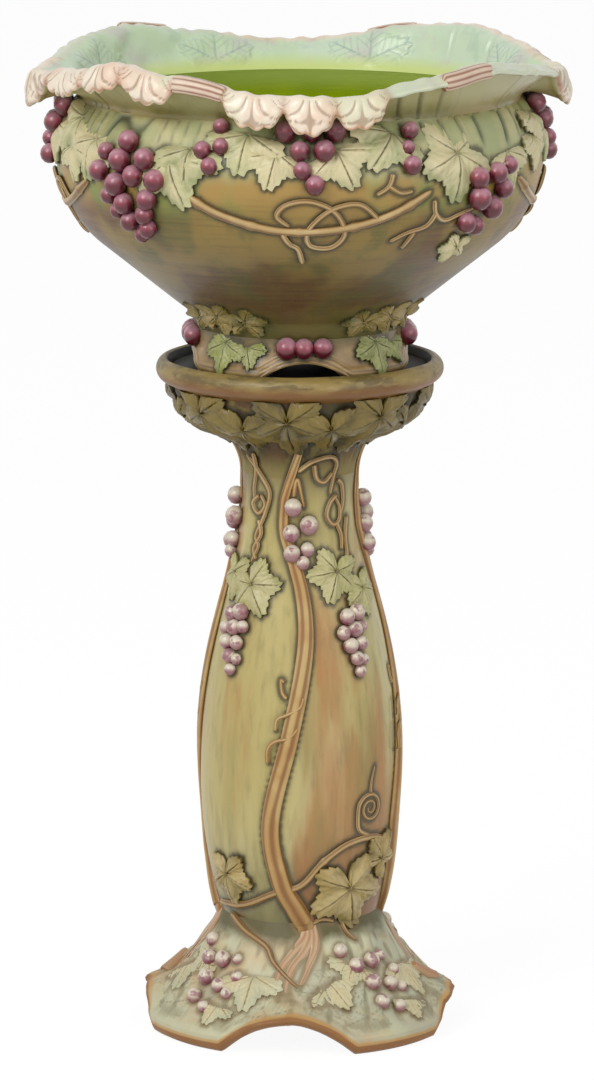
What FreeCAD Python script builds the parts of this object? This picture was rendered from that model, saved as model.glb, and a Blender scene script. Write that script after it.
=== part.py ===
import FreeCAD, Part
import itertools
import math
import os
import random
import Sketcher
from FreeCAD import Vector

# A jardiniere on its stand, in millimetres.  +Z is up, the front faces -Y and the origin is on the
# floor under the middle of the stand.  Both pieces are glazed earthenware: turned and moulded walls
# that carry pressed sprigs of vine.  An azimuth is measured in degrees from the front, to the right.

DRIVING_SIZES = (
    # the stand's base
    ("base_radius", 159), ("base_lip", 15), ("base_wall", 11), ("base_top_radius", 79),
    ("base_top", 118), ("base_arch_half", 60), ("base_arch_rise", 30), ("base_sag", 6),
    ("base_lip_inset", 6), ("base_lip_round", 8), ("base_lip_bend", 7.5),
    # the stand's column and its flare
    ("belly_radius", 99), ("belly_height", 255), ("neck_radius", 57), ("neck_height", 565),
    ("column_wall", 11), ("flare_bend_radius", 93), ("flare_bend_height", 615),
    ("flare_top_radius", 126), ("flare_top", 652), ("flare_top_bend", 50),
    # the dish on top of the stand
    ("dish_radius", 141), ("dish_top", 680), ("dish_floor", 670), ("dish_roll", 12),
    ("dish_plate", 12), ("dish_under", 5), ("dish_inset", 6), ("dish_crest", 7), ("dish_fall", 11),
    ("dish_recess", 15),
    # the jardiniere's foot
    ("foot_radius", 110), ("foot_top_radius", 103), ("foot_top", 712), ("foot_wall", 12),
    ("foot_band", 14), ("foot_arch_half", 43), ("foot_arch_rise", 19), ("foot_roll", 3),
    ("foot_bend", 60),
    # the jardiniere's bowl
    ("bowl_wall", 10), ("bowl_heel_radius", 111), ("bowl_heel", 728), ("bowl_bend_radius", 200),
    ("bowl_bend", 799), ("bowl_radius", 241), ("bowl_widest", 887), ("mouth_radius", 220),
    ("mouth_height", 940),
    # the ruffled rim
    ("rim_radius", 256), ("rim_tip_reach", 9), ("rim_height", 979), ("rim_wave", 11),
    ("rim_edge", 11), ("rim_leaf_drop", 22), ("rim_sections", 72),
    # the turn of the loose jardiniere on its stand, in degrees
    ("bowl_turn", 7.5),
    # the sprigs: grape, stem and leaf sizes
    ("bowl_grape", 9.5), ("stand_grape", 8), ("base_grape", 8.5), ("leaf_thickness", 3),
    ("swag_width", 9), ("tendril_width", 5), ("trunk_top_width", 10), ("trunk_foot_width", 20),
    ("branch_width", 7),
)

doc = FreeCAD.newDocument("jardiniere_on_stand")
sheet = doc.addObject("Spreadsheet::Sheet", "Sizes")
for row, (alias, size) in enumerate(DRIVING_SIZES, start=1):
    sheet.set("A%d" % row, alias)
    sheet.set("B%d" % row, str(size))
    sheet.setAlias("B%d" % row, alias)
doc.recompute()


class Size:
    """A length with the expression that gives it from the sheet's cells."""

    def __init__(self, value, text):
        self.value = float(value)
        self.text = text

    @staticmethod
    def of(length):
        return length if isinstance(length, Size) else Size(length, "%g" % length)

    def __add__(self, other):
        other = Size.of(other)
        return Size(self.value + other.value, "(%s + %s)" % (self.text, other.text))

    def __sub__(self, other):
        other = Size.of(other)
        return Size(self.value - other.value, "(%s - %s)" % (self.text, other.text))

    def __mul__(self, other):
        other = Size.of(other)
        return Size(self.value * other.value, "(%s * %s)" % (self.text, other.text))

    def __truediv__(self, other):
        other = Size.of(other)
        return Size(self.value / other.value, "(%s / %s)" % (self.text, other.text))


def cell(alias):
    """The size that a cell of the sheet holds, kept bound to the cell."""
    return Size(getattr(sheet, alias), "Sizes." + alias)


def number(alias):
    """The plain number that a cell of the sheet holds."""
    return float(getattr(sheet, alias))


def upright_radius(upright, other):
    """Radius of the arc between two points that runs straight up at the first of them."""
    run = upright[0] - other[0]
    rise = upright[1] - other[1]
    if run.value < 0:
        run = other[0] - upright[0]
    return (run * run + rise * rise) / (run * 2)


class Outline:
    """Half of a turned wall's section: points in radius and height, joined by lines and arcs."""

    def __init__(self, radius, height):
        self.points = [(Size.of(radius), Size.of(height))]
        self.bends = []

    def line(self, radius, height):
        self.points.append((Size.of(radius), Size.of(height)))
        self.bends.append(None)
        return self

    def arc(self, radius, height, bend, side):
        """An arc of radius bend; side is 1 where it turns left on its way, and -1 right."""
        self.points.append((Size.of(radius), Size.of(height)))
        self.bends.append((bend, side))
        return self

    def centre(self, index):
        """Centre of the arc after the point of that index."""
        bend, side = self.bends[index]
        start, end = [(p[0].value, p[1].value) for p in self.points[index:index + 2]]
        dx = end[0] - start[0]
        dz = end[1] - start[1]
        chord = math.hypot(dx, dz)
        away = math.sqrt(max(bend.value ** 2 - chord ** 2 / 4, 0.0)) * side / chord
        return ((start[0] + end[0]) / 2 - dz * away, (start[1] + end[1]) / 2 + dx * away)

    def radius_at(self, height):
        """Radius of the wall at a height, on the part of the outline that climbs."""
        for index, bend in enumerate(self.bends):
            (r0, z0), (r1, z1) = [(p[0].value, p[1].value) for p in self.points[index:index + 2]]
            if not z0 <= height <= z1:
                continue
            if bend is None:
                return r0 + (r1 - r0) * (height - z0) / (z1 - z0)
            middle = self.centre(index)
            reach = math.sqrt(bend[0].value ** 2 - (height - middle[1]) ** 2)
            return middle[0] + reach * bend[1]
        first, last = self.points[0], self.points[-1]
        return (first if height < first[1].value else last)[0].value


def joined(*skins):
    """One outline from several that meet end to end, from the bottom up."""
    whole = Outline(*skins[0].points[0])
    for skin in skins:
        whole.points += skin.points[1:]
        whole.bends += skin.bends
    return whole


def plane_of(body, role):
    """The body's own origin plane of that role."""
    return [feature for feature in body.Origin.OriginFeatures if feature.Role == role][0]


def draw(sketch, outline):
    """Draw a closed outline in a sketch, with every point and arc bound to the sheet."""
    count = len(outline.bends)
    for index, bend in enumerate(outline.bends):
        start, end = [Vector(p[0].value, p[1].value, 0) for p in outline.points[index:index + 2]]
        if bend is None:
            sketch.addGeometry(Part.LineSegment(start, end))
            continue
        middle = Vector(outline.centre(index)[0], outline.centre(index)[1], 0)
        circle = Part.Circle(middle, Vector(0, 0, 1), bend[0].value)
        turn = [math.atan2(p.y - middle.y, p.x - middle.x) for p in (start, end)]
        if bend[1] < 0:
            turn.reverse()
        sketch.addGeometry(Part.ArcOfCircle(circle, turn[0], turn[1]))
    # an arc that turns right is drawn from its end to its start
    begins = [2 if bend and bend[1] < 0 else 1 for bend in outline.bends]
    for index in range(count):
        after = (index + 1) % count
        sketch.addConstraint(
            Sketcher.Constraint("Coincident", index, 3 - begins[index], after, begins[after]))
    for index in range(count):
        for kind, size in zip(("DistanceX", "DistanceY"), outline.points[index]):
            place = sketch.addConstraint(
                Sketcher.Constraint(kind, -1, 1, index, begins[index], size.value))
            sketch.setExpression("Constraints[%d]" % place, size.text)
        if outline.bends[index]:
            bend = outline.bends[index][0]
            place = sketch.addConstraint(Sketcher.Constraint("Radius", index, bend.value))
            sketch.setExpression("Constraints[%d]" % place, bend.text)


def turned(label, outline):
    """A body that is one closed outline turned about the axis."""
    body = doc.addObject("PartDesign::Body", label)
    body.Label = label
    sketch = body.newObject("Sketcher::SketchObject", label + "_outline")
    sketch.AttachmentSupport = [(plane_of(body, "XZ_Plane"), "")]
    sketch.MapMode = "FlatFace"
    draw(sketch, outline)
    turn = body.newObject("PartDesign::Revolution", label + "_turn")
    turn.Profile = sketch
    turn.ReferenceAxis = (sketch, ["V_Axis"])
    turn.Angle = 360
    body.Tip = turn
    doc.recompute()
    return body


def arches(body, level, half, rise):
    """Four arches cut through a turned foot, each an arc over a straight sill."""
    radius = (half * half + rise * rise) / (rise * 2)
    below = Size.of(5)
    for name, role in (("front", "XZ_Plane"), ("side", "YZ_Plane")):
        before = body.Shape.Volume
        sketch = body.newObject("Sketcher::SketchObject", "%s_%s_arch" % (body.Label, name))
        sketch.AttachmentSupport = [(plane_of(body, role), "")]
        sketch.MapMode = "FlatFace"
        shape = Outline(half, level).arc(half * -1, level, radius, 1)
        shape.line(half * -1, level - below).line(half, level - below).line(half, level)
        draw(sketch, shape)
        cut = body.newObject("PartDesign::Pocket", "%s_%s_arches" % (body.Label, name))
        cut.Profile = sketch
        cut.Type = "ThroughAll"
        cut.Midplane = True
        body.Tip = cut
        doc.recompute()
        if body.Shape.Volume >= before:
            raise RuntimeError("the arches of %s cut nothing" % body.Label)


# --- the turned walls of the stand -----------------------------------------------------------------

base_lip = (cell("base_radius"), cell("base_lip"))
base_top = (cell("base_top_radius"), cell("base_top"))
belly = (cell("belly_radius"), cell("belly_height"))
neck = (cell("neck_radius"), cell("neck_height"))
flare_bend = (cell("flare_bend_radius"), cell("flare_bend_height"))
flare_top = (cell("flare_top_radius"), cell("flare_top"))

# the skirt rises from its lip in a shallow hollow to the foot of the column
skirt_foot = (base_lip[0] - cell("base_lip_inset"), base_lip[1] + cell("base_lip_round"))
skirt_run = skirt_foot[0] - base_top[0]
skirt_rise = base_top[1] - skirt_foot[1]
skirt_bend = (skirt_run * skirt_run + skirt_rise * skirt_rise) / (cell("base_sag") * 8)
base_skin = Outline(base_lip[0], 0)
base_skin.line(*base_lip)
base_skin.arc(skirt_foot[0], skirt_foot[1], cell("base_lip_bend"), 1)
base_skin.arc(base_top[0], base_top[1], skirt_bend, -1)

wall = cell("base_wall")
base_outline = joined(base_skin)
base_outline.line(base_top[0] - wall, base_top[1])
base_outline.line(base_top[0] - wall, base_top[1] - wall)
base_outline.line(base_lip[0] - wall * 1.6, base_lip[1])
base_outline.line(base_lip[0] - wall, 0)
base_outline.line(base_lip[0], 0)
pedestal_base = turned("pedestal_base", base_outline)
arches(pedestal_base, Size.of(0), cell("base_arch_half"), cell("base_arch_rise"))

# the column swells to its belly and draws in to its neck in two arcs that meet in line
MEETING = 0.6
meeting = (belly[0] - (belly[0] - neck[0]) * MEETING, belly[1] + (neck[1] - belly[1]) * MEETING)
column_skin = Outline(*base_top)
column_skin.arc(belly[0], belly[1], upright_radius(belly, base_top), 1)
column_skin.arc(meeting[0], meeting[1], upright_radius(belly, meeting), 1)
column_skin.arc(neck[0], neck[1], upright_radius(neck, meeting), -1)

wall = cell("column_wall")
column_outline = joined(column_skin)
for radius, height in (neck, meeting, belly, base_top):
    column_outline.line(radius - wall, height)
column_outline.line(*base_top)
turned("pedestal_column", column_outline)

# the flare hollows out of the neck and rounds up to the dish
flare_skin = Outline(*neck)
flare_skin.arc(flare_bend[0], flare_bend[1], upright_radius(neck, flare_bend), -1)
flare_skin.arc(flare_top[0], flare_top[1], cell("flare_top_bend"), 1)

collar_outline = joined(flare_skin)
collar_outline.line(flare_top[0] - wall, flare_top[1])
collar_outline.line(flare_bend[0] - wall * 0.7, flare_bend[1] + wall * 0.9)
collar_outline.line(neck[0] - wall, neck[1])
collar_outline.line(*neck)
turned("pedestal_collar", collar_outline)

# the dish: a plate let into the flare, with a rolled rim around a shallow recess
dish_floor = cell("dish_floor")
plate_under = dish_floor - cell("dish_plate")
roll_side = (cell("dish_radius"), cell("dish_top") - cell("dish_roll"))
roll_under = (cell("dish_radius") - cell("dish_inset"), flare_top[1] + cell("dish_under"))
roll_crest = (cell("dish_radius") - cell("dish_crest"), cell("dish_top"))
dish_outline = Outline(*flare_top)
dish_outline.line(*roll_under)
dish_outline.arc(roll_side[0], roll_side[1], upright_radius(roll_side, roll_under), 1)
dish_outline.arc(roll_crest[0], roll_crest[1], upright_radius(roll_side, roll_crest), 1)
dish_outline.line(cell("dish_radius") - cell("dish_fall"), cell("dish_top") - 1)
dish_outline.line(cell("dish_radius") - cell("dish_recess"), dish_floor)
dish_outline.line(0, dish_floor)
dish_outline.line(0, plate_under)
dish_outline.line(flare_top[0] - wall * 1.4, plate_under)
dish_outline.line(flare_top[0] - wall, flare_top[1])
dish_outline.line(*flare_top)
turned("pedestal_dish", dish_outline)

# --- the turned walls of the jardiniere ------------------------------------------------------------

foot_top = (cell("foot_top_radius"), cell("foot_top"))
foot_low = (cell("foot_radius") - cell("foot_roll"), dish_floor)
foot_side = (cell("foot_radius"), dish_floor + cell("foot_band") / 2)
band_top = (cell("foot_radius") - cell("foot_roll") * 0.7, dish_floor + cell("foot_band"))
foot_skin = Outline(*foot_low)
foot_skin.arc(band_top[0], band_top[1], upright_radius(foot_side, foot_low), 1)
foot_skin.arc(foot_top[0], foot_top[1], cell("foot_bend"), -1)

wall = cell("foot_wall")
foot_outline = joined(foot_skin)
foot_outline.line(foot_top[0] - wall, foot_top[1])
foot_outline.line(foot_top[0] - wall, foot_low[1])
foot_outline.line(*foot_low)
bowl_foot = turned("bowl_foot", foot_outline)
arches(bowl_foot, dish_floor, cell("foot_arch_half"), cell("foot_arch_rise"))

heel = (cell("bowl_heel_radius"), cell("bowl_heel"))
bowl_bend = (cell("bowl_bend_radius"), cell("bowl_bend"))
widest = (cell("bowl_radius"), cell("bowl_widest"))
mouth = (cell("mouth_radius"), cell("mouth_height"))
bowl_skin = Outline(*foot_top)
bowl_skin.line(*heel)
bowl_skin.line(*bowl_bend)
bowl_skin.arc(widest[0], widest[1], upright_radius(widest, bowl_bend), 1)
bowl_skin.arc(mouth[0], mouth[1], upright_radius(widest, mouth), 1)

# shares of the wall's thickness, across and up, that lie square to the sloping side
SLOPE_IN = 0.65
SLOPE_UP = 0.77
wall = cell("bowl_wall")
inner_heel = (heel[0] - wall * SLOPE_IN, heel[1] + wall * SLOPE_UP)
inner_bend = (bowl_bend[0] - wall * SLOPE_IN, bowl_bend[1] + wall * SLOPE_UP)
inner_widest = (widest[0] - wall, widest[1])
inner_mouth = (mouth[0] - wall, mouth[1])
bowl_outline = joined(bowl_skin)
bowl_outline.line(*inner_mouth)
bowl_outline.arc(inner_widest[0], inner_widest[1], upright_radius(inner_widest, inner_mouth), -1)
bowl_outline.arc(inner_bend[0], inner_bend[1], upright_radius(inner_widest, inner_bend), -1)
bowl_outline.line(*inner_heel)
bowl_outline.line(heel[0] - wall * 2.5, foot_top[1] + wall)
bowl_outline.line(0, foot_top[1] + wall)
bowl_outline.line(0, foot_top[1])
bowl_outline.line(*foot_top)
turned("bowl_wall", bowl_outline)

# --- points on the walls ---------------------------------------------------------------------------


def around(radius, azimuth, height):
    """The point at a radius, an azimuth in degrees and a height."""
    turn = math.radians(azimuth)
    return Vector(radius * math.sin(turn), -radius * math.cos(turn), height)


stand_skin = joined(base_skin, column_skin, flare_skin)
jardiniere_skin = joined(foot_skin, bowl_skin)


def frame_on(skin, azimuth, height):
    """A point of a wall, with the directions across it, up it and out of it."""
    step = 1.5
    radius = skin.radius_at(height)
    slope = (skin.radius_at(height + step) - skin.radius_at(height - step)) / (2 * step)
    turn = math.radians(azimuth)
    outward = Vector(math.sin(turn), -math.cos(turn), 0)
    across = Vector(math.cos(turn), math.sin(turn), 0)
    up = (outward * slope + Vector(0, 0, 1)).normalize()
    return around(radius, azimuth, height), across, up, across.cross(up)


def on_wall(skin, azimuth, height, across, along, lift):
    """The point of a wall that lies so far across and up from a place on it, lifted off it."""
    start, side, up, out = frame_on(skin, azimuth, height)
    level = height + along * up.z
    turn = math.degrees(across / skin.radius_at(level))
    place, side, up, out = frame_on(skin, azimuth + turn, level)
    return place + out * lift


# --- sprigs ----------------------------------------------------------------------------------------


def closed(triangles):
    """The solid that a closed set of triangles bounds."""
    faces = [Part.Face(Part.makePolygon([a, b, c, a])) for a, b, c in triangles]
    solid = Part.Solid(Part.makeShell(faces))
    if solid.Volume < 0:
        solid.reverse()
    return solid


def between(rings):
    """The solid through closed rings of equally many points, with a fan over each end."""
    triangles = []
    for low, high in zip(rings, rings[1:]):
        for index in range(len(low)):
            after = (index + 1) % len(low)
            triangles.append((low[index], low[after], high[after]))
            triangles.append((low[index], high[after], high[index]))
    for ring, flip in ((rings[0], True), (rings[-1], False)):
        for index in range(1, len(ring) - 1):
            fan = (ring[0], ring[index], ring[index + 1])
            triangles.append(tuple(reversed(fan)) if flip else fan)
    return closed(triangles)


def bead_faces():
    """The faces of a bead with twenty equal three-sided facets, of radius 1."""
    golden = (1 + math.sqrt(5)) / 2
    corners = []
    for one in (-1, 1):
        for other in (-golden, golden):
            corners += [Vector(0, one, other), Vector(one, other, 0), Vector(other, 0, one)]
    edge = 2 * 1.001
    faces = []
    for a, b, c in itertools.combinations(corners, 3):
        if max((a - b).Length, (b - c).Length, (c - a).Length) < edge:
            reach = math.hypot(1, golden)
            faces.append(Part.Face(Part.makePolygon([a / reach, b / reach, c / reach, a / reach])))
    return faces


BEAD = Part.Solid(Part.makeShell(bead_faces()))
chance = random.Random(7)


def bead(middle, radius):
    """One grape: a faceted bead, turned at random."""
    grape = BEAD.copy()
    grape.scale(radius)
    for axis in (Vector(1, 0, 0), Vector(0, 1, 0), Vector(0, 0, 1)):
        grape.rotate(Vector(0, 0, 0), axis, chance.uniform(5, 85))
    grape.translate(middle)
    return grape


# shares of a grape's radius: from one grape to the next in a row, from row to row, and how far its
# middle stands off the wall in the heap and at the bunch's edge
GRAPE_PITCH = 1.78
GRAPE_ROW = 1.6376
HEAPED = 0.62
AT_EDGE = 0.3


def bunch(skin, azimuth, top, rows, radius, lean=0.0):
    """Grapes in rows down a wall from a height, heaped in the middle and leaning to one side."""
    pitch = radius * GRAPE_PITCH
    grapes = []
    for level, count in enumerate(rows):
        for place in range(count):
            across = (place - (count - 1) / 2) * pitch + lean * level + chance.uniform(-1, 1)
            within = 0 < level < len(rows) - 1 and 0 < place < count - 1
            heap = HEAPED if within else AT_EDGE
            size = radius * chance.uniform(0.92, 1.06)
            down = -level * radius * GRAPE_ROW
            spot = on_wall(skin, azimuth, top, across, down, radius * heap)
            grapes.append(bead(spot, size))
    return grapes


# degrees from lobe to lobe, and shares of a leaf's length: how far the notches between lobes, the two
# lowest lobes and the stalk's notch fall short of its tip, and of its thickness: how proud its heart is
LEAF_LOBE = 65.0
LOBE_NOTCH = 0.32
LOWEST_SHORT = 0.3
STALK_NOTCH = 0.2
LEAF_HEART = 1.7


def leaf(skin, azimuth, height, length, tip):
    """A vine leaf laid on a wall: five lobes round its stalk, its tip turned from straight down."""
    thickness = number("leaf_thickness")
    step = LEAF_LOBE / 4
    bearings = [step * place for place in range(-10, 11)] + [180.0]
    rims = ([], [])
    for bearing in bearings:
        wave = (1 - math.cos(math.radians(bearing / LEAF_LOBE * 360))) / 2
        reach = (1 - LOBE_NOTCH * wave) * (1 - LOWEST_SHORT * abs(bearing) / 180)
        if bearing == 180.0:
            reach = STALK_NOTCH
        aim = math.radians(bearing + tip)
        across = length * reach * math.sin(aim)
        along = -length * reach * math.cos(aim)
        for rim, lift in zip(rims, (thickness, -thickness)):
            rim.append(on_wall(skin, azimuth, height, across, along, lift))
    heart = [on_wall(skin, azimuth, height, 0, 0, lift) for lift in (thickness * LEAF_HEART, -thickness)]
    triangles = []
    for index in range(len(bearings)):
        after = (index + 1) % len(bearings)
        over, under = rims
        triangles.append((over[index], over[after], heart[0]))
        triangles.append((under[after], under[index], heart[1]))
        triangles.append((under[index], under[after], over[after]))
        triangles.append((under[index], over[after], over[index]))
    return closed(triangles)


def smooth(route, steps):
    """A route through given places, with so many steps from each to the next."""
    places = [route[0]] + list(route) + [route[-1]]
    path = []
    for before, start, end, after in zip(places, places[1:], places[2:], places[3:]):
        for step in range(steps):
            run = step / steps
            path.append([
                0.5 * (2 * b + (c - a) * run + (2 * a - 5 * b + 4 * c - d) * run ** 2
                       + (3 * b - a - 3 * c + d) * run ** 3)
                for a, b, c, d in zip(before, start, end, after)])
    path.append(list(route[-1]))
    return path


# half sections of stems, as shares of the width: across, then out of the wall
STEM = ((-0.5, -0.35), (-0.32, 0.38), (0.32, 0.38), (0.5, -0.35))
BARK = ((-0.5, -0.2), (-0.42, 0.3), (-0.15, 0.48), (0.15, 0.48), (0.42, 0.3), (0.5, -0.2))


def stem(place_on, route, widths, section=STEM, steps=2):
    """A stem laid along a route, as wide at each end as widths says and tapered between."""
    path = smooth(route, steps)
    spots = [place_on(*place) for place in path]
    rings = []
    for index, (spot, out) in enumerate(spots):
        ahead = spots[min(index + 1, len(spots) - 1)][0] - spots[max(index - 1, 0)][0]
        side = ahead.cross(out).normalize()
        width = widths[0] + (widths[1] - widths[0]) * index / (len(spots) - 1)
        rings.append([spot + side * (width * a) + out * (width * b) for a, b in section])
    return between(rings)


def laid_on(skin):
    """The function that gives a wall's point and outward direction at an azimuth and a height."""

    def place_on(azimuth, height):
        spot, side, up, out = frame_on(skin, azimuth, height)
        return spot, out

    return place_on


# a scrap of clay smaller than this, in cubic millimetres, is wiped off
SCRAP = 15
# how far the flat facets of a bed may lie off the wall, and how deep the bed is
BED_ERROR = 0.25
BED_DEPTH = 14.0
BED_ROW = 8.0
BED_MARGIN = 4


def lean_at(skin, height):
    """How much longer a wall's slope is than its rise, at a height."""
    return math.hypot(1, (skin.radius_at(height + 1) - skin.radius_at(height - 1)) / 2)


def bed(skin, sprigs):
    """A block of the wall under the sprigs, in flat facets that lie just outside the wall."""
    corners = [vertex.Point for sprig in sprigs for vertex in sprig.Vertexes]
    bearings = [math.degrees(math.atan2(corner.x, -corner.y)) for corner in corners]
    heights = [corner.z for corner in corners]
    low = max(min(heights) - BED_MARGIN, skin.points[0][1].value)
    high = min(max(heights) + BED_MARGIN, skin.points[-1][1].value)
    levels = [low]
    while levels[-1] < high:
        levels.append(min(levels[-1] + BED_ROW / lean_at(skin, levels[-1]), high))
    rows = len(levels) - 1
    widest = max(skin.radius_at(level) for level in levels)
    span = max(bearings) - min(bearings) + BED_MARGIN
    columns = math.ceil(math.radians(span) * widest / math.sqrt(8 * widest * BED_ERROR))
    start = min(bearings) - BED_MARGIN / 2
    turns = [start + span * place / columns for place in range(columns + 1)]
    out = 1 / math.cos(math.radians(span / columns / 2))
    shells = []
    for depth in (-BED_ERROR, BED_DEPTH):
        shell = []
        for level in levels:
            radius = (skin.radius_at(level) - depth * lean_at(skin, level)) * out
            shell.append([around(radius, turn, level) for turn in turns])
        shells.append(shell)
    faces = []
    for shell in shells:
        for lower, upper in zip(shell, shell[1:]):
            for left in range(columns):
                ring = [lower[left], lower[left + 1], upper[left + 1], upper[left]]
                faces.append(Part.Face(Part.makePolygon(ring + ring[:1])))
    outer, inner = shells
    for row in (0, rows):
        for left in range(columns):
            ring = [outer[row][left], outer[row][left + 1], inner[row][left + 1], inner[row][left]]
            faces.append(Part.Face(Part.makePolygon(ring + ring[:1])))
    for side in (0, columns):
        for row in range(rows):
            ring = [outer[row][side], outer[row + 1][side], inner[row + 1][side], inner[row][side]]
            faces.append(Part.Face(Part.makePolygon(ring + ring[:1])))
    block = Part.Solid(Part.makeShell(faces))
    if block.Volume < 0:
        block.reverse()
    return block


def seated(sprigs, under, over=()):
    """The sprigs as one piece each where they touch, cut round what lies over them and by the wall."""
    ground = bed(under, sprigs) if isinstance(under, Outline) else under
    whole = sprigs[0].multiFuse(sprigs[1:]) if len(sprigs) > 1 else sprigs[0]
    close = [piece for piece in over if piece.BoundBox.intersect(whole.BoundBox)]
    if close:
        whole = whole.cut(close)
    return [solid for solid in whole.cut(ground).Solids if solid.Volume > SCRAP]


def repeated(solids, turns):
    """The solids, copied round the axis to each of the turns."""
    copies = []
    for turn in turns:
        for solid in solids:
            copy = solid.copy()
            copy.rotate(Vector(0, 0, 0), Vector(0, 0, 1), turn)
            copies.append(copy)
    return copies


def keep(label, solids, turn=0.0):
    """Put solids in the document as one sub-part, turned about the axis."""
    piece = doc.addObject("Part::Feature", label)
    piece.Label = label
    piece.Shape = Part.makeCompound(solids)
    piece.Placement = FreeCAD.Placement(Vector(0, 0, 0), FreeCAD.Rotation(Vector(0, 0, 1), turn))
    return piece


QUARTERS = (0, 90, 180, 270)
HALVES = (0, 180)
on_stand = laid_on(stand_skin)

# four trunks climb the column in a slow S, and run out over the base
trunk_way = ((12, 62), (9, 104), (-5, 154), (-12, 223), (-1, 310), (8, 398), (-4, 504), (4, 600))
trunk = [stem(on_stand, trunk_way, (number("trunk_foot_width"), number("trunk_top_width")), BARK, 2)]
laid_trunk = seated(trunk, stand_skin)
for name, turn in zip(("front", "right", "back", "left"), QUARTERS):
    keep("vine_trunk_" + name, repeated(laid_trunk, (turn,)))
trunks = repeated(trunk, QUARTERS)

neck_bunch = bunch(stand_skin, 6, 541, (1, 2, 2, 1), number("stand_grape"))
keep("neck_bunches", repeated(seated(neck_bunch, stand_skin, trunk), QUARTERS))
side_bunch = bunch(stand_skin, 45, 428, (2, 2, 2, 1), number("stand_grape"), 1.5)
keep("side_bunches", repeated(seated(side_bunch, stand_skin), QUARTERS))
base_bunch = bunch(stand_skin, 45, 88, (3, 2, 3, 1), number("base_grape"), 3)
keep("base_bunches", repeated(seated(base_bunch, stand_skin), QUARTERS))

upper_leaf_pair = [leaf(stand_skin, 32, 466, 27, -15), leaf(stand_skin, 63, 455, 24, 10)]
keep("upper_leaves", repeated(seated(upper_leaf_pair, stand_skin, side_bunch + trunk), QUARTERS))

tendril = number("tendril_width")
tangle_ways = (
    ((-52, 596), (-40, 566), (-38, 548), (-50, 528), (-48, 503)),
    ((-44, 596), (-50, 570), (-54, 548), (-44, 524), (-52, 500)),
    ((10, 583), (27, 595), (47, 588), (50, 566), (46, 552)),
    ((22, 584), (26, 570), (38, 566)),
    ((46, 545), (38, 532), (46, 520), (56, 530), (52, 548)),
    ((50, 518), (56, 505), (51, 492)),
)
tangles = [stem(on_stand, way, (tendril, tendril * 0.7)) for way in tangle_ways]
nearby = trunk + upper_leaf_pair + repeated(upper_leaf_pair, (-90,)) + neck_bunch
keep("upper_tendrils", repeated(seated(tangles, stand_skin, nearby), HALVES))

# a branch leaves each side of the column low down, passes behind a trunk and bears a spiral
branch_way = ((-69, 128), (-36, 134), (-12, 150), (6, 160), (20, 185), (36, 201), (56, 203), (76, 168))
branch_width = number("branch_width")
branch = [stem(on_stand, branch_way, (branch_width, branch_width * 0.7), STEM, 3)]
keep("low_branches", repeated(seated(branch, stand_skin, trunks), HALVES))
SPIRAL_TURNS = 1.3
SPIRAL_REACH = 16
DEGREES_EACH = math.degrees(1 / number("belly_radius"))
spiral_way = [(50, 209), (43, 216)]
for place in range(9):
    share = place / 8
    bearing = math.radians(190 - 360 * SPIRAL_TURNS * share)
    reach = SPIRAL_REACH * (1 - 0.8 * share)
    spiral_way.append((50 + reach * DEGREES_EACH * math.cos(bearing), 234 + reach * math.sin(bearing)))
spiral = [stem(on_stand, spiral_way, (tendril, tendril * 0.5), STEM, 2)]
keep("spiral_tendrils", repeated(seated(spiral, stand_skin, branch), HALVES))
lower_leaf_pair = [leaf(stand_skin, 38, 160, 37, 20), leaf(stand_skin, -48, 165, 24, -20)]
keep("lower_leaves", repeated(seated(lower_leaf_pair, stand_skin, branch + trunks), HALVES))

base_leaf_pair = [leaf(stand_skin, 27, 55, 25, 8), leaf(stand_skin, 67, 55, 24, -8)]
keep("base_leaves", repeated(seated(base_leaf_pair, stand_skin, base_bunch + trunks), QUARTERS))
collar_leaf_pair = [leaf(stand_skin, azimuth, 625, 36, 0) for azimuth in (0, 45)]
over = trunk + tangles + repeated(tangles, HALVES)
keep("collar_leaves", repeated(seated(collar_leaf_pair, stand_skin, over), QUARTERS))

# --- the ruffled rim -------------------------------------------------------------------------------


def share_near(azimuth, middle, half, edge):
    """1 within half of a middle azimuth, falling to 0 over the edge beyond it, both ways round."""
    off = abs((azimuth - middle + 180) % 360 - 180)
    return min(max((half + edge - off) / edge, 0.0), 1.0)


# where the rim turns over in leaves: middle azimuth and half width, and again half way round
RIM_LEAVES = ((0, 28), (-46, 13), (90, 12))
# degrees over which a leaf and a pointed side die out, and from tooth to tooth of a leaf
LEAF_EDGE = 6
SIDE_HALF = 4
SIDE_EDGE = 14
TOOTH_PITCH = 15
# how much of a leaf's droop its teeth cut away, and how far they stand out
TOOTH_CUT = 0.28
TOOTH_REACH = 3


def rim_shape(azimuth):
    """Tip radius, crest height and droop of the rim at an azimuth."""
    leafy = 0.0
    pointed = 0.0
    for middle, half in RIM_LEAVES:
        for turn in HALVES:
            leafy = max(leafy, share_near(azimuth, middle + turn, half, LEAF_EDGE))
    for turn in HALVES:
        pointed = max(pointed, share_near(azimuth, 90 + turn, SIDE_HALF, SIDE_EDGE))
    scallop = 0.5 + 0.5 * math.cos(math.radians(azimuth * 360 / TOOTH_PITCH))
    crest = number("rim_height") - number("rim_wave") * math.cos(math.radians(azimuth * 4))
    hang = number("rim_leaf_drop") * (1 - TOOTH_CUT + TOOTH_CUT * scallop)
    droop = number("rim_edge") + leafy * hang
    tip = number("rim_radius") + number("rim_tip_reach") * pointed + TOOTH_REACH * leafy * scallop
    return tip, crest, droop


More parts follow.
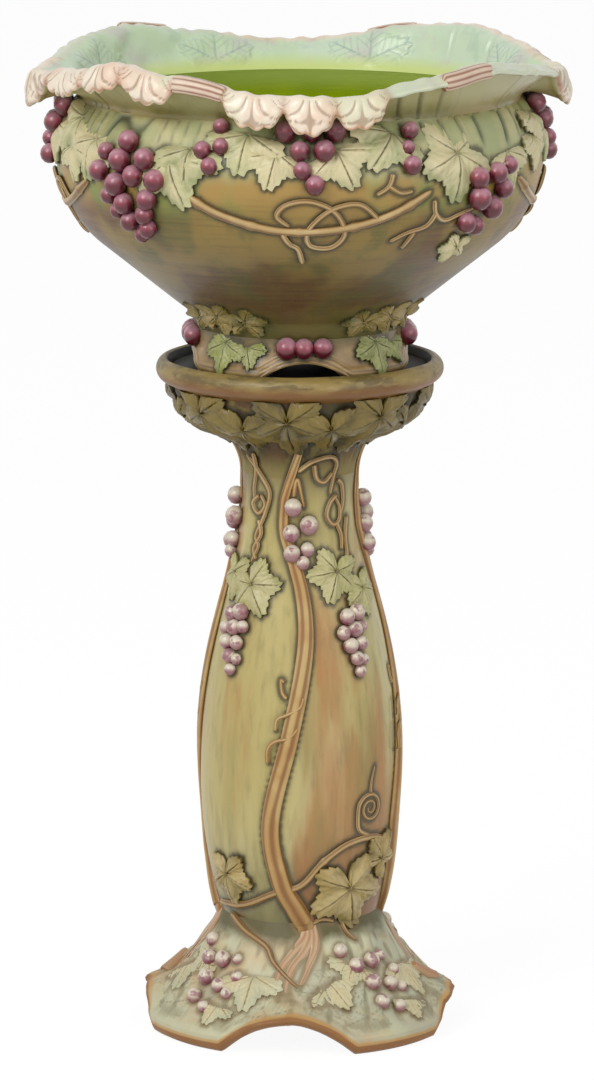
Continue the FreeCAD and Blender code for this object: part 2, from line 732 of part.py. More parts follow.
def rim_section(azimuth):
    """Corners of the rim's section at an azimuth, from the joint round the lip and back inside."""
    tip, crest, droop = rim_shape(azimuth)
    bottom = number("mouth_height")
    inside = number("mouth_radius") - number("bowl_wall")
    corners = (
        (number("mouth_radius"), bottom),
        (number("mouth_radius") + 7, bottom + 4),
        (tip - 9, crest - droop + 1),
        (tip, crest - droop + 3),
        (tip + 1, crest - droop * 0.45),
        (tip - 6, crest - 2),
        (tip - 14, crest),
        (tip - 24, crest - 6),
        (inside + 9, bottom + 13),
        (inside, bottom),
    )
    wire = [around(radius, azimuth, height) for radius, height in corners]
    return Part.makePolygon(wire + wire[:1])


rim_count = int(number("rim_sections"))
rim_sections = [rim_section(360.0 * place / rim_count) for place in range(rim_count)]
rim = Part.makeLoft(rim_sections, True, True, True)
bowl_turn = number("bowl_turn")
keep("bowl_rim", [rim], bowl_turn)


def on_crest(azimuth, inward):
    """The rim's crest at an azimuth, so far inward of it, and the direction out of it."""
    tip, crest, droop = rim_shape(azimuth)
    return around(tip - 11 - inward, azimuth, crest - 1), Vector(0, 0, 1)


rim_stems = [stem(on_crest, way, (15, 13), BARK, 2)
             for way in (((-31, 0), (-25, 0), (-19, 1)), ((31, 3), (41, 0), (51, -2)))]
keep("rim_stems", repeated(seated(rim_stems, rim), HALVES), bowl_turn)

# --- the jardiniere's sprigs -----------------------------------------------------------------------

on_bowl = laid_on(jardiniere_skin)
grape = number("bowl_grape")
large = bunch(jardiniere_skin, -46, 912, (1, 3, 4, 3, 2, 2, 1), grape, 1.5)
large += bunch(jardiniere_skin, 49, 897, (3, 3, 2, 2, 2), grape, -2)
keep("shoulder_bunches", repeated(seated(large, jardiniere_skin), HALVES), bowl_turn)
hanging = bunch(jardiniere_skin, 0, 926, (3, 2, 1, 1), grape)
keep("hanging_bunches", repeated(seated(hanging, jardiniere_skin), QUARTERS), bowl_turn)
SMALL_GRAPE = 0.85
small = bunch(jardiniere_skin, -23, 916, (2, 1), grape * SMALL_GRAPE)
small += bunch(jardiniere_skin, 23.5, 926, (1, 1, 1), grape * SMALL_GRAPE)
keep("small_bunches", repeated(seated(small, jardiniere_skin), HALVES), bowl_turn)
bunches = large + hanging + small

swag_way = ((-31, 874), (-23, 855), (-12, 841), (-3, 837), (8, 840), (19, 852), (29, 873))
swag = [stem(on_bowl, swag_way, (number("swag_width"), number("swag_width") * 0.9), STEM, 2)]
keep("swag_vines", repeated(seated(swag, jardiniere_skin), QUARTERS), bowl_turn)
knot_ways = (
    ((-7, 842), (-8, 856), (-3, 867), (3, 862), (5, 850)),
    ((1, 856), (-1, 836), (3, 821), (8, 832), (5, 851)),
    ((5, 858), (9, 866), (13, 858), (14, 848)),
    ((-7, 834), (-5, 824), (-2, 816), (-2, 804)),
)
knots = [stem(on_bowl, way, (tendril, tendril)) for way in knot_ways]
keep("tendril_knots", repeated(seated(knots, jardiniere_skin, swag), QUARTERS), bowl_turn)
forked_ways = (
    ((30, 862), (33, 846), (38, 849), (44, 854)),
    ((33, 845), (27, 836), (22, 827)),
    ((17, 880), (16, 870), (22, 869)),
)
forks = [stem(on_bowl, way, (tendril, tendril * 0.8)) for way in forked_ways]
keep("forked_tendrils", repeated(seated(forks, jardiniere_skin, swag + large), HALVES), bowl_turn)

vines = swag + forks + bunches
wide_leaves = [leaf(jardiniere_skin, -14, 913, 38, -10), leaf(jardiniere_skin, 11, 912, 36, 14)]
keep("wide_leaves", repeated(seated(wide_leaves, jardiniere_skin, vines), QUARTERS), bowl_turn)
shoulder_leaves = [leaf(jardiniere_skin, -36, 906, 45, 14), leaf(jardiniere_skin, 36, 906, 40, -8),
                   leaf(jardiniere_skin, 60, 905, 36, 12), leaf(jardiniere_skin, 41, 813, 21, -15)]
vines += repeated(wide_leaves, (-90, 0, 90)) + repeated(bunches + swag, (90,))
keep("shoulder_leaves", repeated(seated(shoulder_leaves, jardiniere_skin, vines), HALVES), bowl_turn)

foot_grapes = bunch(jardiniere_skin, 0, 706, (3,), grape)
keep("foot_grapes", repeated(seated(foot_grapes, jardiniere_skin), QUARTERS), bowl_turn)
foot_leaf = [leaf(jardiniere_skin, 45, 722, 26, 0)]
keep("foot_leaves", repeated(seated(foot_leaf, jardiniere_skin), QUARTERS), bowl_turn)

# --- check and write -------------------------------------------------------------------------------

for label in ("bowl_wall", "bowl_foot"):
    doc.getObject(label).Placement = FreeCAD.Placement(
        Vector(0, 0, 0), FreeCAD.Rotation(Vector(0, 0, 1), bowl_turn))
doc.recompute()
for item in doc.Objects:
    if "Invalid" in item.State or "Error" in item.State:
        raise RuntimeError("%s did not build: %s" % (item.Label, item.State))
pieces = [item for item in doc.Objects if item.TypeId in ("PartDesign::Body", "Part::Feature")]
os.makedirs("parts", exist_ok=True)
for piece in pieces:
    if piece.Shape.isNull() or not piece.Shape.isValid():
        raise RuntimeError("%s has no valid shape" % piece.Label)
    piece.Shape.exportStep("parts/%s.step" % piece.Label)
    print(piece.Label, len(piece.Shape.Solids), "solids", round(piece.Shape.Volume / 1000), "cm3")
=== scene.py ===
"""Dresses a glazed earthenware jardiniere on its stand: walls, rim, sprigs of vine, floor and lamps."""

import math

import bmesh
import bpy
import numpy as np
from bpy.props import FloatProperty, FloatVectorProperty, IntProperty, PointerProperty
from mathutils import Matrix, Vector
from mathutils.kdtree import KDTree


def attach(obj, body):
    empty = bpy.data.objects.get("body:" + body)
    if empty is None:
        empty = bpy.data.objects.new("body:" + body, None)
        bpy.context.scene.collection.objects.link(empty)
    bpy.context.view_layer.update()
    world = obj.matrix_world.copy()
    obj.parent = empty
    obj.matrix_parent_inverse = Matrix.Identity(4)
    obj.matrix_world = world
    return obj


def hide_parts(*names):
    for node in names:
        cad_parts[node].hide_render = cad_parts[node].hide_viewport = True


bl_info = {
    "name": "Jardiniere on Stand",
    "version": (1, 0, 0),
    "blender": (4, 5, 0),
    "location": "View3D > Sidebar > Jardiniere",
    "description": "Builds the glazed walls, ruffled rim and vine sprigs of a jardiniere on its stand",
    "category": "Object",
}

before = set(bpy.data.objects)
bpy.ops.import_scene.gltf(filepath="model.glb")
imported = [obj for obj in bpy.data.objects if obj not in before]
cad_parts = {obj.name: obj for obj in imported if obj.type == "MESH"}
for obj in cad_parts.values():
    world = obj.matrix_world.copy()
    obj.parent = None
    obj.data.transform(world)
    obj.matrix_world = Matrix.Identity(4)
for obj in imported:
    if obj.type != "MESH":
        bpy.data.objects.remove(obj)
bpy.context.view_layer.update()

# An azimuth is measured in degrees from the front (-Y), to the right.  Lengths are in metres.
BOWL_TURN = 7.5
QUARTERS = (0, 90, 180, 270)
HALVES = (0, 180)
STAND = "pedestal"
BOWL = "jardiniere"


def tint(red, green, blue):
    """A colour from its screen values, 0 to 255: each is taken off the screen's curve."""
    share = np.array([red, green, blue]) / 255
    linear = np.where(share <= 0.04045, share / 12.92, ((share + 0.055) / 1.055) ** 2.4)
    return tuple(float(part) for part in linear)


# --- what a user would change ----------------------------------------------------------------------


def colour(name, words, *screen):
    """A colour property with its default given in screen values."""
    return FloatVectorProperty(name=name, description=words, subtype="COLOR", size=3, min=0.0, max=1.0,
                               default=tint(*screen))


def length(name, words, metres):
    """A length property with its default in metres."""
    return FloatProperty(name=name, description=words, unit="LENGTH", default=metres, min=0.0, precision=4)


def power(name, words, watts):
    """A lamp's power property with its default in watts."""
    return FloatProperty(name=name, description=words, unit="POWER", default=watts, min=0.0)


class GlazeColours(bpy.types.PropertyGroup):
    """Colours of the glazes."""

    bowl: colour("Bowl", "Olive glaze on the side of the bowl", 146, 120, 54)
    bowl_brown: colour("Bowl patches", "Brown patches brushed into the bowl's glaze", 106, 70, 30)
    shoulder: colour("Shoulder", "Sage glaze round the shoulder", 172, 178, 126)
    shoulder_ochre: colour("Below the shoulder", "Ochre glaze below the shoulder", 176, 142, 74)
    # Dark colour laid round the sprigs: pooled glaze and painted contact shade.
    pooled_glaze_and_shade: colour("Pooled glaze", "Dark glaze pooled round the sprigs", 58, 52, 26)
    inside: colour("Inside", "Lime glaze inside the bowl", 168, 188, 24)
    rim: colour("Rim", "Cream glaze on the turned-over rim", 250, 236, 214)
    rim_tip: colour("Rim tips", "Burnt orange on the rim's teeth", 190, 118, 56)
    rim_inside: colour("Rim inside", "Pale mint inside the rim", 216, 234, 206)
    rim_vein: colour("Rim veins", "Blue grey in the veins inside the rim", 156, 178, 170)
    leaf: colour("Leaf", "Pale sage on the bowl's leaves", 200, 198, 148)
    leaf_dark: colour("Leaf shade", "Green washed over the leaves", 150, 156, 104)
    # Also laid as painted shade under the edges of the bowl's leaves.
    vein: colour("Veins", "Dark green run into the veins", 72, 74, 48)
    grape: colour("Grapes", "Plum glaze on the bowl's grapes", 156, 64, 80)
    # A painted highlight where the bowl's grapes face up.
    grape_top_highlight: colour("Grape bloom", "Pale bloom on top of the grapes", 200, 152, 166)
    # Painted shade under the bowl's grapes and at their foot against the wall, and their dark spots.
    grape_shade_and_spots: colour("Grape shade", "Deep plum under the grapes", 84, 18, 30)
    pale_grape: colour("Pale grapes", "Cream glaze on the stand's grapes", 228, 214, 190)
    # Pink laid in spots on the stand's grapes, and as painted shade under them and at their foot.
    blush: colour("Blush", "Pink run over the stand's grapes", 136, 52, 84)
    stem: colour("Stems", "Golden tan on the thin stems", 178, 146, 92)
    # Painted contact shade along the foot of the thin stems, where they meet the wall.
    stem_contact_shade: colour("Stem outline", "Brown along the foot of the stems", 64, 44, 22)
    trunk: colour("Trunks", "Orange tan on the trunks", 180, 134, 74)
    trunk_dark: colour("Trunk grooves", "Burnt brown in the trunks' grooves", 136, 92, 48)
    column: colour("Column", "Sage glaze on the column", 192, 176, 110)
    column_pale: colour("Column lights", "Pale green in the column's glaze", 216, 206, 152)
    streak: colour("Streaks", "Orange brown streaks down the column", 176, 114, 54)
    collar: colour("Collar", "Dark olive on the collar", 62, 54, 20)
    collar_gold: colour("Collar lights", "Gold on the high parts of the collar", 136, 116, 50)
    dish: colour("Dish", "Olive tan on the dish's rolled rim", 152, 130, 72)
    dish_brown: colour("Dish shade", "Brown under the dish's rim", 128, 84, 38)
    # The recess's dark glaze, deepened as painted shade under the bowl's foot.
    dish_recess_glaze_and_shade: colour("Dish inside", "Dark green in the dish", 26, 30, 22)
    base: colour("Base", "Pale grey green on the base", 208, 206, 172)
    base_blush: colour("Base blush", "Pink and sand washed over the base", 214, 184, 140)
    base_edge: colour("Base edge", "Amber along the lip of the base", 200, 158, 98)
    foot: colour("Foot", "Tan on the bowl's bark foot", 182, 150, 104)
    foot_leaf: colour("Foot leaves", "Green on the foot's leaves", 160, 166, 88)


class SprigSizes(bpy.types.PropertyGroup):
    """Sizes of the sprigs pressed on to the walls."""

    bowl_grape: length("Bowl grape", "Radius of the bowl's grapes", 0.0100)
    stand_grape: length("Stand grape", "Radius of the grapes on the column", 0.008)
    base_grape: length("Base grape", "Radius of the grapes on the base", 0.0085)
    leaf_thickness: length("Leaf thickness", "How far a leaf's edge stands off the wall", 0.0026)
    swag: length("Swag width", "Width of the vine swags", 0.009)
    tendril: length("Tendril width", "Width of the tendrils", 0.0052)
    teeth: IntProperty(name="Leaf teeth", description="Teeth round a vine leaf", default=30, min=6, max=60)


class StageSettings(bpy.types.PropertyGroup):
    """The floor, the lamps and the camera."""

    floor: length("Floor", "Width of the floor", 30.0)
    key: power("Key", "Power of the large front lamp", 104.0)
    fill: power("Fill", "Power of the side lamp", 34.0)
    sky: FloatProperty(name="Sky", description="Brightness of the world on the object", default=0.38, min=0.0)


# --- turned walls ----------------------------------------------------------------------------------


def arc(start, end, bend, side, count=20):
    """Points of the circle of radius bend from start to end, turning left on its way where side is 1."""
    start, end = np.array(start, float), np.array(end, float)
    run = end - start
    chord = math.hypot(*run)
    away = math.sqrt(max(bend ** 2 - chord ** 2 / 4, 0.0)) * side / chord
    middle = (start + end) / 2 + np.array([-run[1], run[0]]) * away
    first, last = [math.atan2(p[1] - middle[1], p[0] - middle[0]) for p in (start, end)]
    if side > 0 and last < first:
        last += 2 * math.pi
    if side < 0 and last > first:
        last -= 2 * math.pi
    turn = np.linspace(first, last, count)
    return middle + bend * np.stack([np.cos(turn), np.sin(turn)], -1)


def upright(point, other):
    """Radius of the arc between two points that runs straight up at the first of them."""
    run, rise = abs(point[0] - other[0]), point[1] - other[1]
    return (run * run + rise * rise) / (2 * run)


def path_of(*runs):
    """One polyline of radius and height from several, without the repeats where they meet."""
    points = np.concatenate([np.atleast_2d(np.array(run, float)) for run in runs])
    fresh = np.concatenate([[True], np.linalg.norm(np.diff(points, axis=0), axis=1) > 1e-6])
    return points[fresh]


def evenly(outline, step):
    """The outline with points added on its runs, so that none is longer than the step."""
    rows = [outline[:1]]
    for start, end in zip(outline, outline[1:]):
        count = max(1, math.ceil(np.linalg.norm(end - start) / step))
        rows.append(start + (end - start) * (np.arange(1, count + 1) / count)[:, None])
    return np.concatenate(rows)


class Skin:
    """The outer face of a turned wall: its radius at a height is read off the outline's polyline."""

    def __init__(self, outline):
        self.outline = outline
        self.heights = np.maximum.accumulate(outline[:, 1])
        self.radii = outline[:, 0]

    def radius(self, height):
        return np.interp(height, self.heights, self.radii)

    def frame(self, azimuth, height):
        """A point, and the directions across, up and out of the wall there, worked out from its slope."""
        step = 0.0015
        turn = np.radians(azimuth)
        height = np.asarray(height, float) + 0 * turn
        slope = (self.radius(height + step) - self.radius(height - step)) / (2 * step)
        none = np.zeros_like(turn + height)
        outward = np.stack([np.sin(turn) + none, -np.cos(turn) + none, none], -1)
        across = np.stack([np.cos(turn) + none, np.sin(turn) + none, none], -1)
        up = outward * slope[..., None] + np.array([0.0, 0.0, 1.0])
        up /= np.linalg.norm(up, axis=-1, keepdims=True)
        point = outward * self.radius(height)[..., None]
        point[..., 2] = height
        return point, across, up, np.cross(across, up)

    def lay(self, azimuth, height, across, along, lift):
        """Points so far across and along the wall from a place on it, and lifted off it: the run along
        becomes a height by the wall's slope, and the run across becomes a turn by the radius there."""
        up = self.frame(azimuth, height)[2]
        level = np.minimum(height + along * up[..., 2], self.heights[-1] + 0.002)
        turn = azimuth + np.degrees(across / self.radius(level))
        point, _, _, out = self.frame(turn, level)
        return point + out * np.asarray(lift)[..., None]


BASE_LIP = (0.159, 0.015)
BASE_TOP = (0.079, 0.118)
BELLY = (0.099, 0.255)
NECK = (0.057, 0.565)
MEETING = (0.0738, 0.441)
FLARE_BEND = (0.093, 0.615)
FLARE_TOP = (0.126, 0.652)
FOOT_LOW = (0.107, 0.670)
FOOT_SIDE = (0.110, 0.677)
BAND_TOP = (0.1079, 0.684)
FOOT_TOP = (0.103, 0.712)
HEEL = (0.111, 0.728)
BOWL_BEND = (0.200, 0.799)
WIDEST = (0.241, 0.887)
MOUTH = (0.220, 0.940)
RIM_HEIGHT = 0.979
RIM_WAVE = 0.011
RIM_RADIUS = 0.256

skirt = path_of(arc((0.153, 0.023), BASE_TOP, 0.308, -1))
base_face = path_of((0.159, 0.0), BASE_LIP, arc(BASE_LIP, (0.153, 0.023), 0.0075, 1, 8), skirt)
column_face = path_of(arc(BASE_TOP, BELLY, upright(BELLY, BASE_TOP), 1),
                      arc(BELLY, MEETING, upright(BELLY, MEETING), 1),
                      arc(MEETING, NECK, upright(NECK, MEETING), -1))
flare_face = path_of(arc(NECK, FLARE_BEND, upright(NECK, FLARE_BEND), -1),
                     arc(FLARE_BEND, FLARE_TOP, 0.050, 1))
foot_face = path_of(arc(FOOT_LOW, BAND_TOP, upright(FOOT_SIDE, FOOT_LOW), 1, 12),
                    arc(BAND_TOP, FOOT_TOP, 0.060, -1, 12))
bowl_face = path_of(FOOT_TOP, HEEL, BOWL_BEND, arc(BOWL_BEND, WIDEST, upright(WIDEST, BOWL_BEND), 1),
                    arc(WIDEST, MOUTH, upright(WIDEST, MOUTH), 1))
stand_skin = Skin(path_of(base_face, column_face, flare_face))
bowl_skin = Skin(path_of(foot_face, bowl_face))


# --- grids and pieces ------------------------------------------------------------------------------


class Grid:
    """A surface on a grid: its columns close into a ring, and marks give a number at each point."""

    def __init__(self, points, closed=False, **marks):
        self.points = points
        self.closed = closed
        self.marks = {name: np.broadcast_to(mark, points.shape[:2]) for name, mark in marks.items()}

    def faces(self):
        """Four corners of each face, turned to point out of the volume that the surface bounds."""
        rows, columns = self.points.shape[:2]
        row = np.arange(rows if self.closed else rows - 1)[:, None]
        column = np.arange(columns)[None, :]
        after, above = (column + 1) % columns, (row + 1) % rows
        corners = np.stack([row * columns + column, row * columns + after,
                            above * columns + after, above * columns + column], -1).reshape(-1, 4)
        flat = self.points.reshape(-1, 3)
        middle = flat - flat.mean(0)
        a, b, c, d = [middle[corners[:, i]] for i in range(4)]
        volume = (np.cross(a, b) * c).sum() + (np.cross(a, c) * d).sum()
        return corners if volume >= 0 else corners[:, ::-1]

    def normals(self):
        """Directions out of the wall: the run along a row crossed with the run up a column."""
        along = np.roll(self.points, -1, 1) - np.roll(self.points, 1, 1)
        up = (np.roll(self.points, -1, 0) - np.roll(self.points, 1, 0)) if self.closed \
            else np.gradient(self.points, axis=0)
        out = np.cross(along, up)
        return out / np.maximum(np.linalg.norm(out, axis=-1, keepdims=True), 1e-12)

    def pushed(self, amount):
        """The grid with each point moved out of the wall by an amount."""
        self.points = self.points + self.normals() * np.asarray(amount)[..., None]
        return self

    def turned(self, degrees):
        """A copy turned about the axis."""
        turn = math.radians(degrees)
        cos, sin = math.cos(turn), math.sin(turn)
        spin = np.array([[cos, -sin, 0], [sin, cos, 0], [0, 0, 1]])
        return Grid(self.points @ spin.T, self.closed, **self.marks)


def eased(value, blend):
    """A value where it is above nought and nought where it is below, the turn between them rounded."""
    return 0.5 * (value + np.sqrt(value ** 2 + blend ** 2) - blend) * (value > -0.2)


def cubic(before, start, end, after, run):
    """The span from start to end of a smooth curve through four places, at shares of the run."""
    return 0.5 * (2 * start + (end - before) * run + (2 * before - 5 * start + 4 * end - after) * run ** 2
                  + (3 * start - before - 3 * end + after) * run ** 3)


def round_the_axis(grids, turns):
    """The grids copied to each of the turns."""
    return [grid.turned(turn) for turn in turns for grid in grids]


def added(name, data):
    """A new object of the scene."""
    made = bpy.data.objects.new(name, data)
    bpy.context.scene.collection.objects.link(made)
    return made


def piece(name, grids, body, slot, material, replaced=(), turn=0.0, crease=50.0):
    """One object from grids: their points and faces joined, doubles at poles merged, on a body."""
    grids = [grid.turned(turn) for grid in grids] if turn else grids
    points, faces, start = [], [], 0
    names = sorted({mark for grid in grids for mark in grid.marks})
    marks = {mark: [] for mark in names}
    for grid in grids:
        flat = grid.points.reshape(-1, 3)
        faces.append(grid.faces() + start)
        points.append(flat)
        start += len(flat)
        for mark in names:
            marks[mark].append(grid.marks.get(mark, np.zeros(grid.points.shape[:2])).ravel())
    mesh = bpy.data.meshes.new(name)
    mesh.from_pydata(np.concatenate(points), [], np.concatenate(faces).tolist())
    for mark in names:
        layer = mesh.attributes.new(mark, "FLOAT", "POINT")
        layer.data.foreach_set("value", np.concatenate(marks[mark]).astype(np.float32))
    shape = bmesh.new()
    shape.from_mesh(mesh)
    bmesh.ops.remove_doubles(shape, verts=shape.verts, dist=1e-7)
    shape.to_mesh(mesh)
    shape.free()
    mesh.shade_smooth()
    mesh.set_sharp_from_angle(angle=math.radians(crease))
    mesh.materials.append(material)
    made = added(name, mesh)
    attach(made, body)
    if replaced:
        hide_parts(*replaced)


def turned_wall(outer, inner, columns, closed=True):
    """An outline of radius and height, its outer and then its inner run, carried round the axis: the
    grid, the azimuth of each column, and 1 on the rows of the outer run."""
    outline = path_of(outer, inner)
    face = (np.arange(len(outline)) < len(outer)).astype(float)[:, None]
    azimuth = np.linspace(0, 360, columns, endpoint=False)
    turn = np.radians(azimuth)[None, :]
    radius, height = outline[:, :1], outline[:, 1:]
    points = np.stack([radius * np.sin(turn), -radius * np.cos(turn), height + 0 * turn], -1)
    return Grid(points, closed), azimuth, face


def reshape(grid, radius, height):
    """Gives the points of a turned wall a new radius and height."""
    flat = grid.points[..., :2]
    grid.points = np.concatenate([flat / np.hypot(flat[..., 0], flat[..., 1])[..., None] * radius[..., None],
                                  height[..., None]], -1)


def arched(azimuth, reach, sweep, rise, start, blend, half):
    """How far four round arches lift the foot of a wall at azimuths: each is cut by a drum of the radius
    sweep, rises so far at its middle and spans its half width, and its corners are rounded."""
    off = np.abs((azimuth + 45) % 90 - 45)
    across = reach * np.sin(np.radians(off))
    arch = np.sqrt(np.maximum(sweep ** 2 - across ** 2, 0)) - (sweep - rise)
    return np.where(across < half, np.maximum(eased(arch + start, blend), 0), 0)[None, :]


def ripple(azimuth, height, turns, rises, seed):
    """A smooth unevenness from -1 to 1 that closes round the axis: six waves, each with a whole number
    of swells round and its own climb, added up."""
    chance = np.random.default_rng(seed)
    total = 0.0
    for _ in range(6):
        swells = chance.integers(turns[0], turns[1] + 1)
        climb = chance.uniform(*rises) * chance.choice((-1, 1))
        total = total + np.sin(np.radians(azimuth) * swells + height * climb + chance.uniform(0, 6.3))
    return total / 3.4


def fall(value, start, end):
    """A smooth change from 0 at start to 1 at end."""
    share = np.clip((value - start) / (end - start), 0, 1)
    return share * share * (3 - 2 * share)


def bump(value, middle, width):
    """A bell over a middle value: 1 there, and small beyond the width."""
    return np.exp(-((value - middle) / width) ** 2)


# --- materials -------------------------------------------------------------------------------------


class Tone:
    """A number in a material: sums on it add the maths nodes that work them out."""

    def __init__(self, recipe, socket):
        self.recipe = recipe
        self.socket = socket

    def sum(self, operation, *values):
        node = self.recipe.node("ShaderNodeMath", {"operation": operation},
                                {place: value for place, value in enumerate(values)})
        return Tone(self.recipe, node.outputs[0])

    def __add__(self, other):
        return self.sum("ADD", self, other)

    __radd__ = __add__

    def __sub__(self, other):
        return self.sum("SUBTRACT", self, other)

    def __rsub__(self, other):
        return self.sum("SUBTRACT", other, self)

    def __mul__(self, other):
        return self.sum("MULTIPLY", self, other)

    __rmul__ = __mul__

    def __truediv__(self, other):
        return self.sum("DIVIDE", self, other)

    def step(self, start, end):
        """0 up to start and 1 from end, smooth between."""
        node = self.recipe.node("ShaderNodeMapRange", {"interpolation_type": "SMOOTHSTEP"},
                                {"Value": self, "From Min": start, "From Max": end})
        return Tone(self.recipe, node.outputs[0])


class Recipe:
    """The nodes of one material, which is new and has a name, or of the world."""

    def __init__(self, name, owner=None):
        self.owner = owner or bpy.data.materials.new(name)
        self.owner.use_nodes = True
        self.tree = self.owner.node_tree
        self.shader = self.tree.nodes.get("Principled BSDF")
        self.base = None

    def node(self, kind, settings, inputs):
        """A node of a kind, with its settings made first and then its inputs' values or links."""
        made = self.tree.nodes.new(kind)
        for name, value in settings.items():
            setattr(made, name, value)
        for name, value in inputs.items():
            self.feed(made.inputs[name], value)
        return made

    def feed(self, socket, value):
        if isinstance(value, Tone):
            value = value.socket
        if isinstance(value, bpy.types.NodeSocket):
            self.tree.links.new(value, socket)
        elif hasattr(value, "__len__") and len(value) == 3 and socket.type == "RGBA":
            socket.default_value = (*value, 1.0)
        else:
            socket.default_value = value

    def mark(self, name):
        """A number that the mesh holds at each point."""
        node = self.node("ShaderNodeAttribute", {"attribute_name": name}, {})
        return Tone(self, node.outputs["Fac"])

    def where(self):
        """The object's own coordinates, in metres."""
        return self.node("ShaderNodeTexCoord", {}, {}).outputs["Object"]

    def height(self):
        """Height above the floor, in metres."""
        return Tone(self, self.node("ShaderNodeSeparateXYZ", {}, {0: self.where()}).outputs[2])

    def cloud(self, scale, stretch=(1, 1, 1), detail=3.0):
        """Cloudy noise from 0 to 1, stretched, with patches about a metre over its scale wide."""
        place = self.node("ShaderNodeMapping", {}, {"Vector": self.where(), "Scale": stretch})
        node = self.node("ShaderNodeTexNoise", {}, {"Vector": place.outputs[0], "Scale": scale,
                                                    "Detail": detail, "Roughness": 0.55})
        return Tone(self, node.outputs[0])

    def mix(self, share, first, second):
        """The first colour, and the second where the share is 1."""
        node = self.node("ShaderNodeMix", {"data_type": "RGBA"}, {0: share, 6: first, 7: second})
        return node.outputs[2]

    def wash(self, share, *colour):
        """Lay a colour, or one given by its screen values, over the base as much as the share says."""
        self.base = self.mix(share, self.base, tint(*colour) if len(colour) == 3 else colour[0])

    def finish(self, gloss, relief, coat=0.25, depth=0.0006):
        """Feed the shader with the base, a roughness, a coat and a bump from a relief."""
        bumped = self.node("ShaderNodeBump", {}, {"Strength": 0.6, "Distance": depth, "Height": relief})
        for name, value in (("Base Color", self.base), ("Roughness", gloss), ("Coat Weight", coat),
                            ("Coat Roughness", 0.12), ("Normal", bumped.outputs[0])):
            self.feed(self.shader.inputs[name], value)
        return self.owner


def sizes():
    return bpy.context.scene.jardiniere_sizes


def made_once(build):
    """Makes a glaze from the scene's colours and a recipe, when it is asked for the first time."""
    kept = []

    def get():
        if not kept:
            kept.append(build(bpy.context.scene.jardiniere_colours, Recipe(build.__name__)))
        return kept[0]

    return get


@made_once
def bowl_glaze(c, r):
    """Olive brushed crosswise, with brown and green run down it, ochre and then sage towards the neck,
    dark in the folds and round the sprigs, and lime inside."""
    brushed = r.cloud(14, (1, 1, 24), 5)
    runs = r.cloud(8, (1, 1, 0.35), 3)
    blots = r.cloud(19, (1, 1, 0.45), 4)
    r.base = r.mix(runs.step(0.46, 0.56), c.bowl, c.bowl_brown)
    r.wash(blots.step(0.50, 0.64) * 0.65, 84, 90, 36)
    r.wash(brushed.step(0.46, 0.66) * 0.22, 158, 128, 62)
    r.wash((1 - brushed).step(0.52, 0.70) * 0.25, 64, 46, 24)
    r.wash(r.cloud(60, (1, 1, 0.1), 3).step(0.5, 0.7) * 0.2, 150, 128, 60)
    high = r.height()
    ochre = r.mix(blots.step(0.44, 0.62), c.shoulder_ochre, tint(140, 148, 74))
    r.wash((high + runs * 0.05).step(0.862, 0.896) * 0.9, ochre)
    r.wash((0.86 - high + runs * 0.05).step(0.02, 0.13) * 0.5, 72, 60, 22)
    washed = r.mix(blots.step(0.42, 0.62), c.shoulder, tint(204, 196, 146))
    washed = r.mix(runs.step(0.5, 0.62) * 0.6, washed, tint(146, 142, 84))
    r.wash((high + blots * 0.03).step(0.892, 0.916), washed)
    # Painted shade: a dark brown band just under the overhanging rim.
    r.wash(high.step(0.932, 0.946) * 0.75, 124, 104, 44)
    # Painted shade in the slits of the neck's folds.
    r.wash(r.mark("fold") * 0.9, 40, 50, 34)
    # Pooled glaze and painted contact shade round the sprigs.
    r.wash((r.mark("pool") * (0.7 + blots * 0.6)).step(0.08, 0.85) * 0.85, c.pooled_glaze_and_shade)
    r.wash((high * -1).step(-0.752, -0.722) * 0.7, 96, 92, 40)
    lime = r.mix(r.cloud(11).step(0.4, 0.7), c.inside, tint(150, 170, 20))
    lime = r.mix(high.step(0.912, 0.942), lime, tint(214, 228, 140))
    r.wash(r.mark("inside"), lime)
    gloss = 0.40 + blots * 0.16 - r.mark("inside") * 0.25
    return r.finish(gloss, brushed + r.cloud(150, detail=2) * 0.5, coat=0.12, depth=0.0007)


@made_once
def rim_glaze(c, r):
    """Cream turned-over leaves with pink veins and burnt teeth, and mint inside with blue-grey veins."""
    soft = r.cloud(26, detail=4)
    wash = r.cloud(12)
    over = r.mix(soft.step(0.44, 0.64) * 0.7, c.rim, tint(240, 206, 180))
    over = r.mix(wash.step(0.5, 0.66) * 0.6, over, tint(222, 224, 186))
    over = r.mix((r.mark("plain") + soft * 0.4).step(0.5, 1.2) * 0.8, over, tint(208, 220, 190))
    over = r.mix((r.mark("vein") * (0.5 + soft)).step(0.2, 0.9) * 0.65, over, tint(150, 118, 90))
    over = r.mix((r.mark("tip") * (0.65 + soft * 0.7)).step(0.3, 1.0) * 0.85, over, c.rim_tip)
    over = r.mix(r.mark("notch") * 0.85, over, tint(170, 92, 36))
    within = r.mix(wash.step(0.42, 0.62) * 0.8, c.rim_inside, tint(208, 230, 188))
    within = r.mix(soft.step(0.50, 0.68) * 0.6, within, tint(214, 204, 200))
    within = r.mix(r.cloud(40, detail=4).step(0.54, 0.7) * 0.5, within, tint(188, 212, 188))
    within = r.mix(r.mark("vein") * 0.8, within, c.rim_vein)
    within = r.mix((r.height() * -1).step(-0.958, -0.942), within, tint(214, 228, 140))
    # The under side: darker near the neck as painted shade under the rolled-over rim, paler out towards the
    # tip, and painted shade in the slits of its creases.
    under = r.mix(wash.step(0.4, 0.62), tint(150, 132, 72), tint(124, 118, 62))
    under = r.mix((r.height() + soft * 0.02).step(0.948, 0.974) * 0.8, under, tint(186, 180, 130))
    under = r.mix(r.mark("fold") * 0.8, under, tint(48, 46, 24))
    r.base = r.mix(r.mark("inside"), over, within)
    r.wash(r.mark("under"), under)
    return r.finish(0.30 + soft * 0.15, r.cloud(190, detail=2), coat=0.3, depth=0.0004)


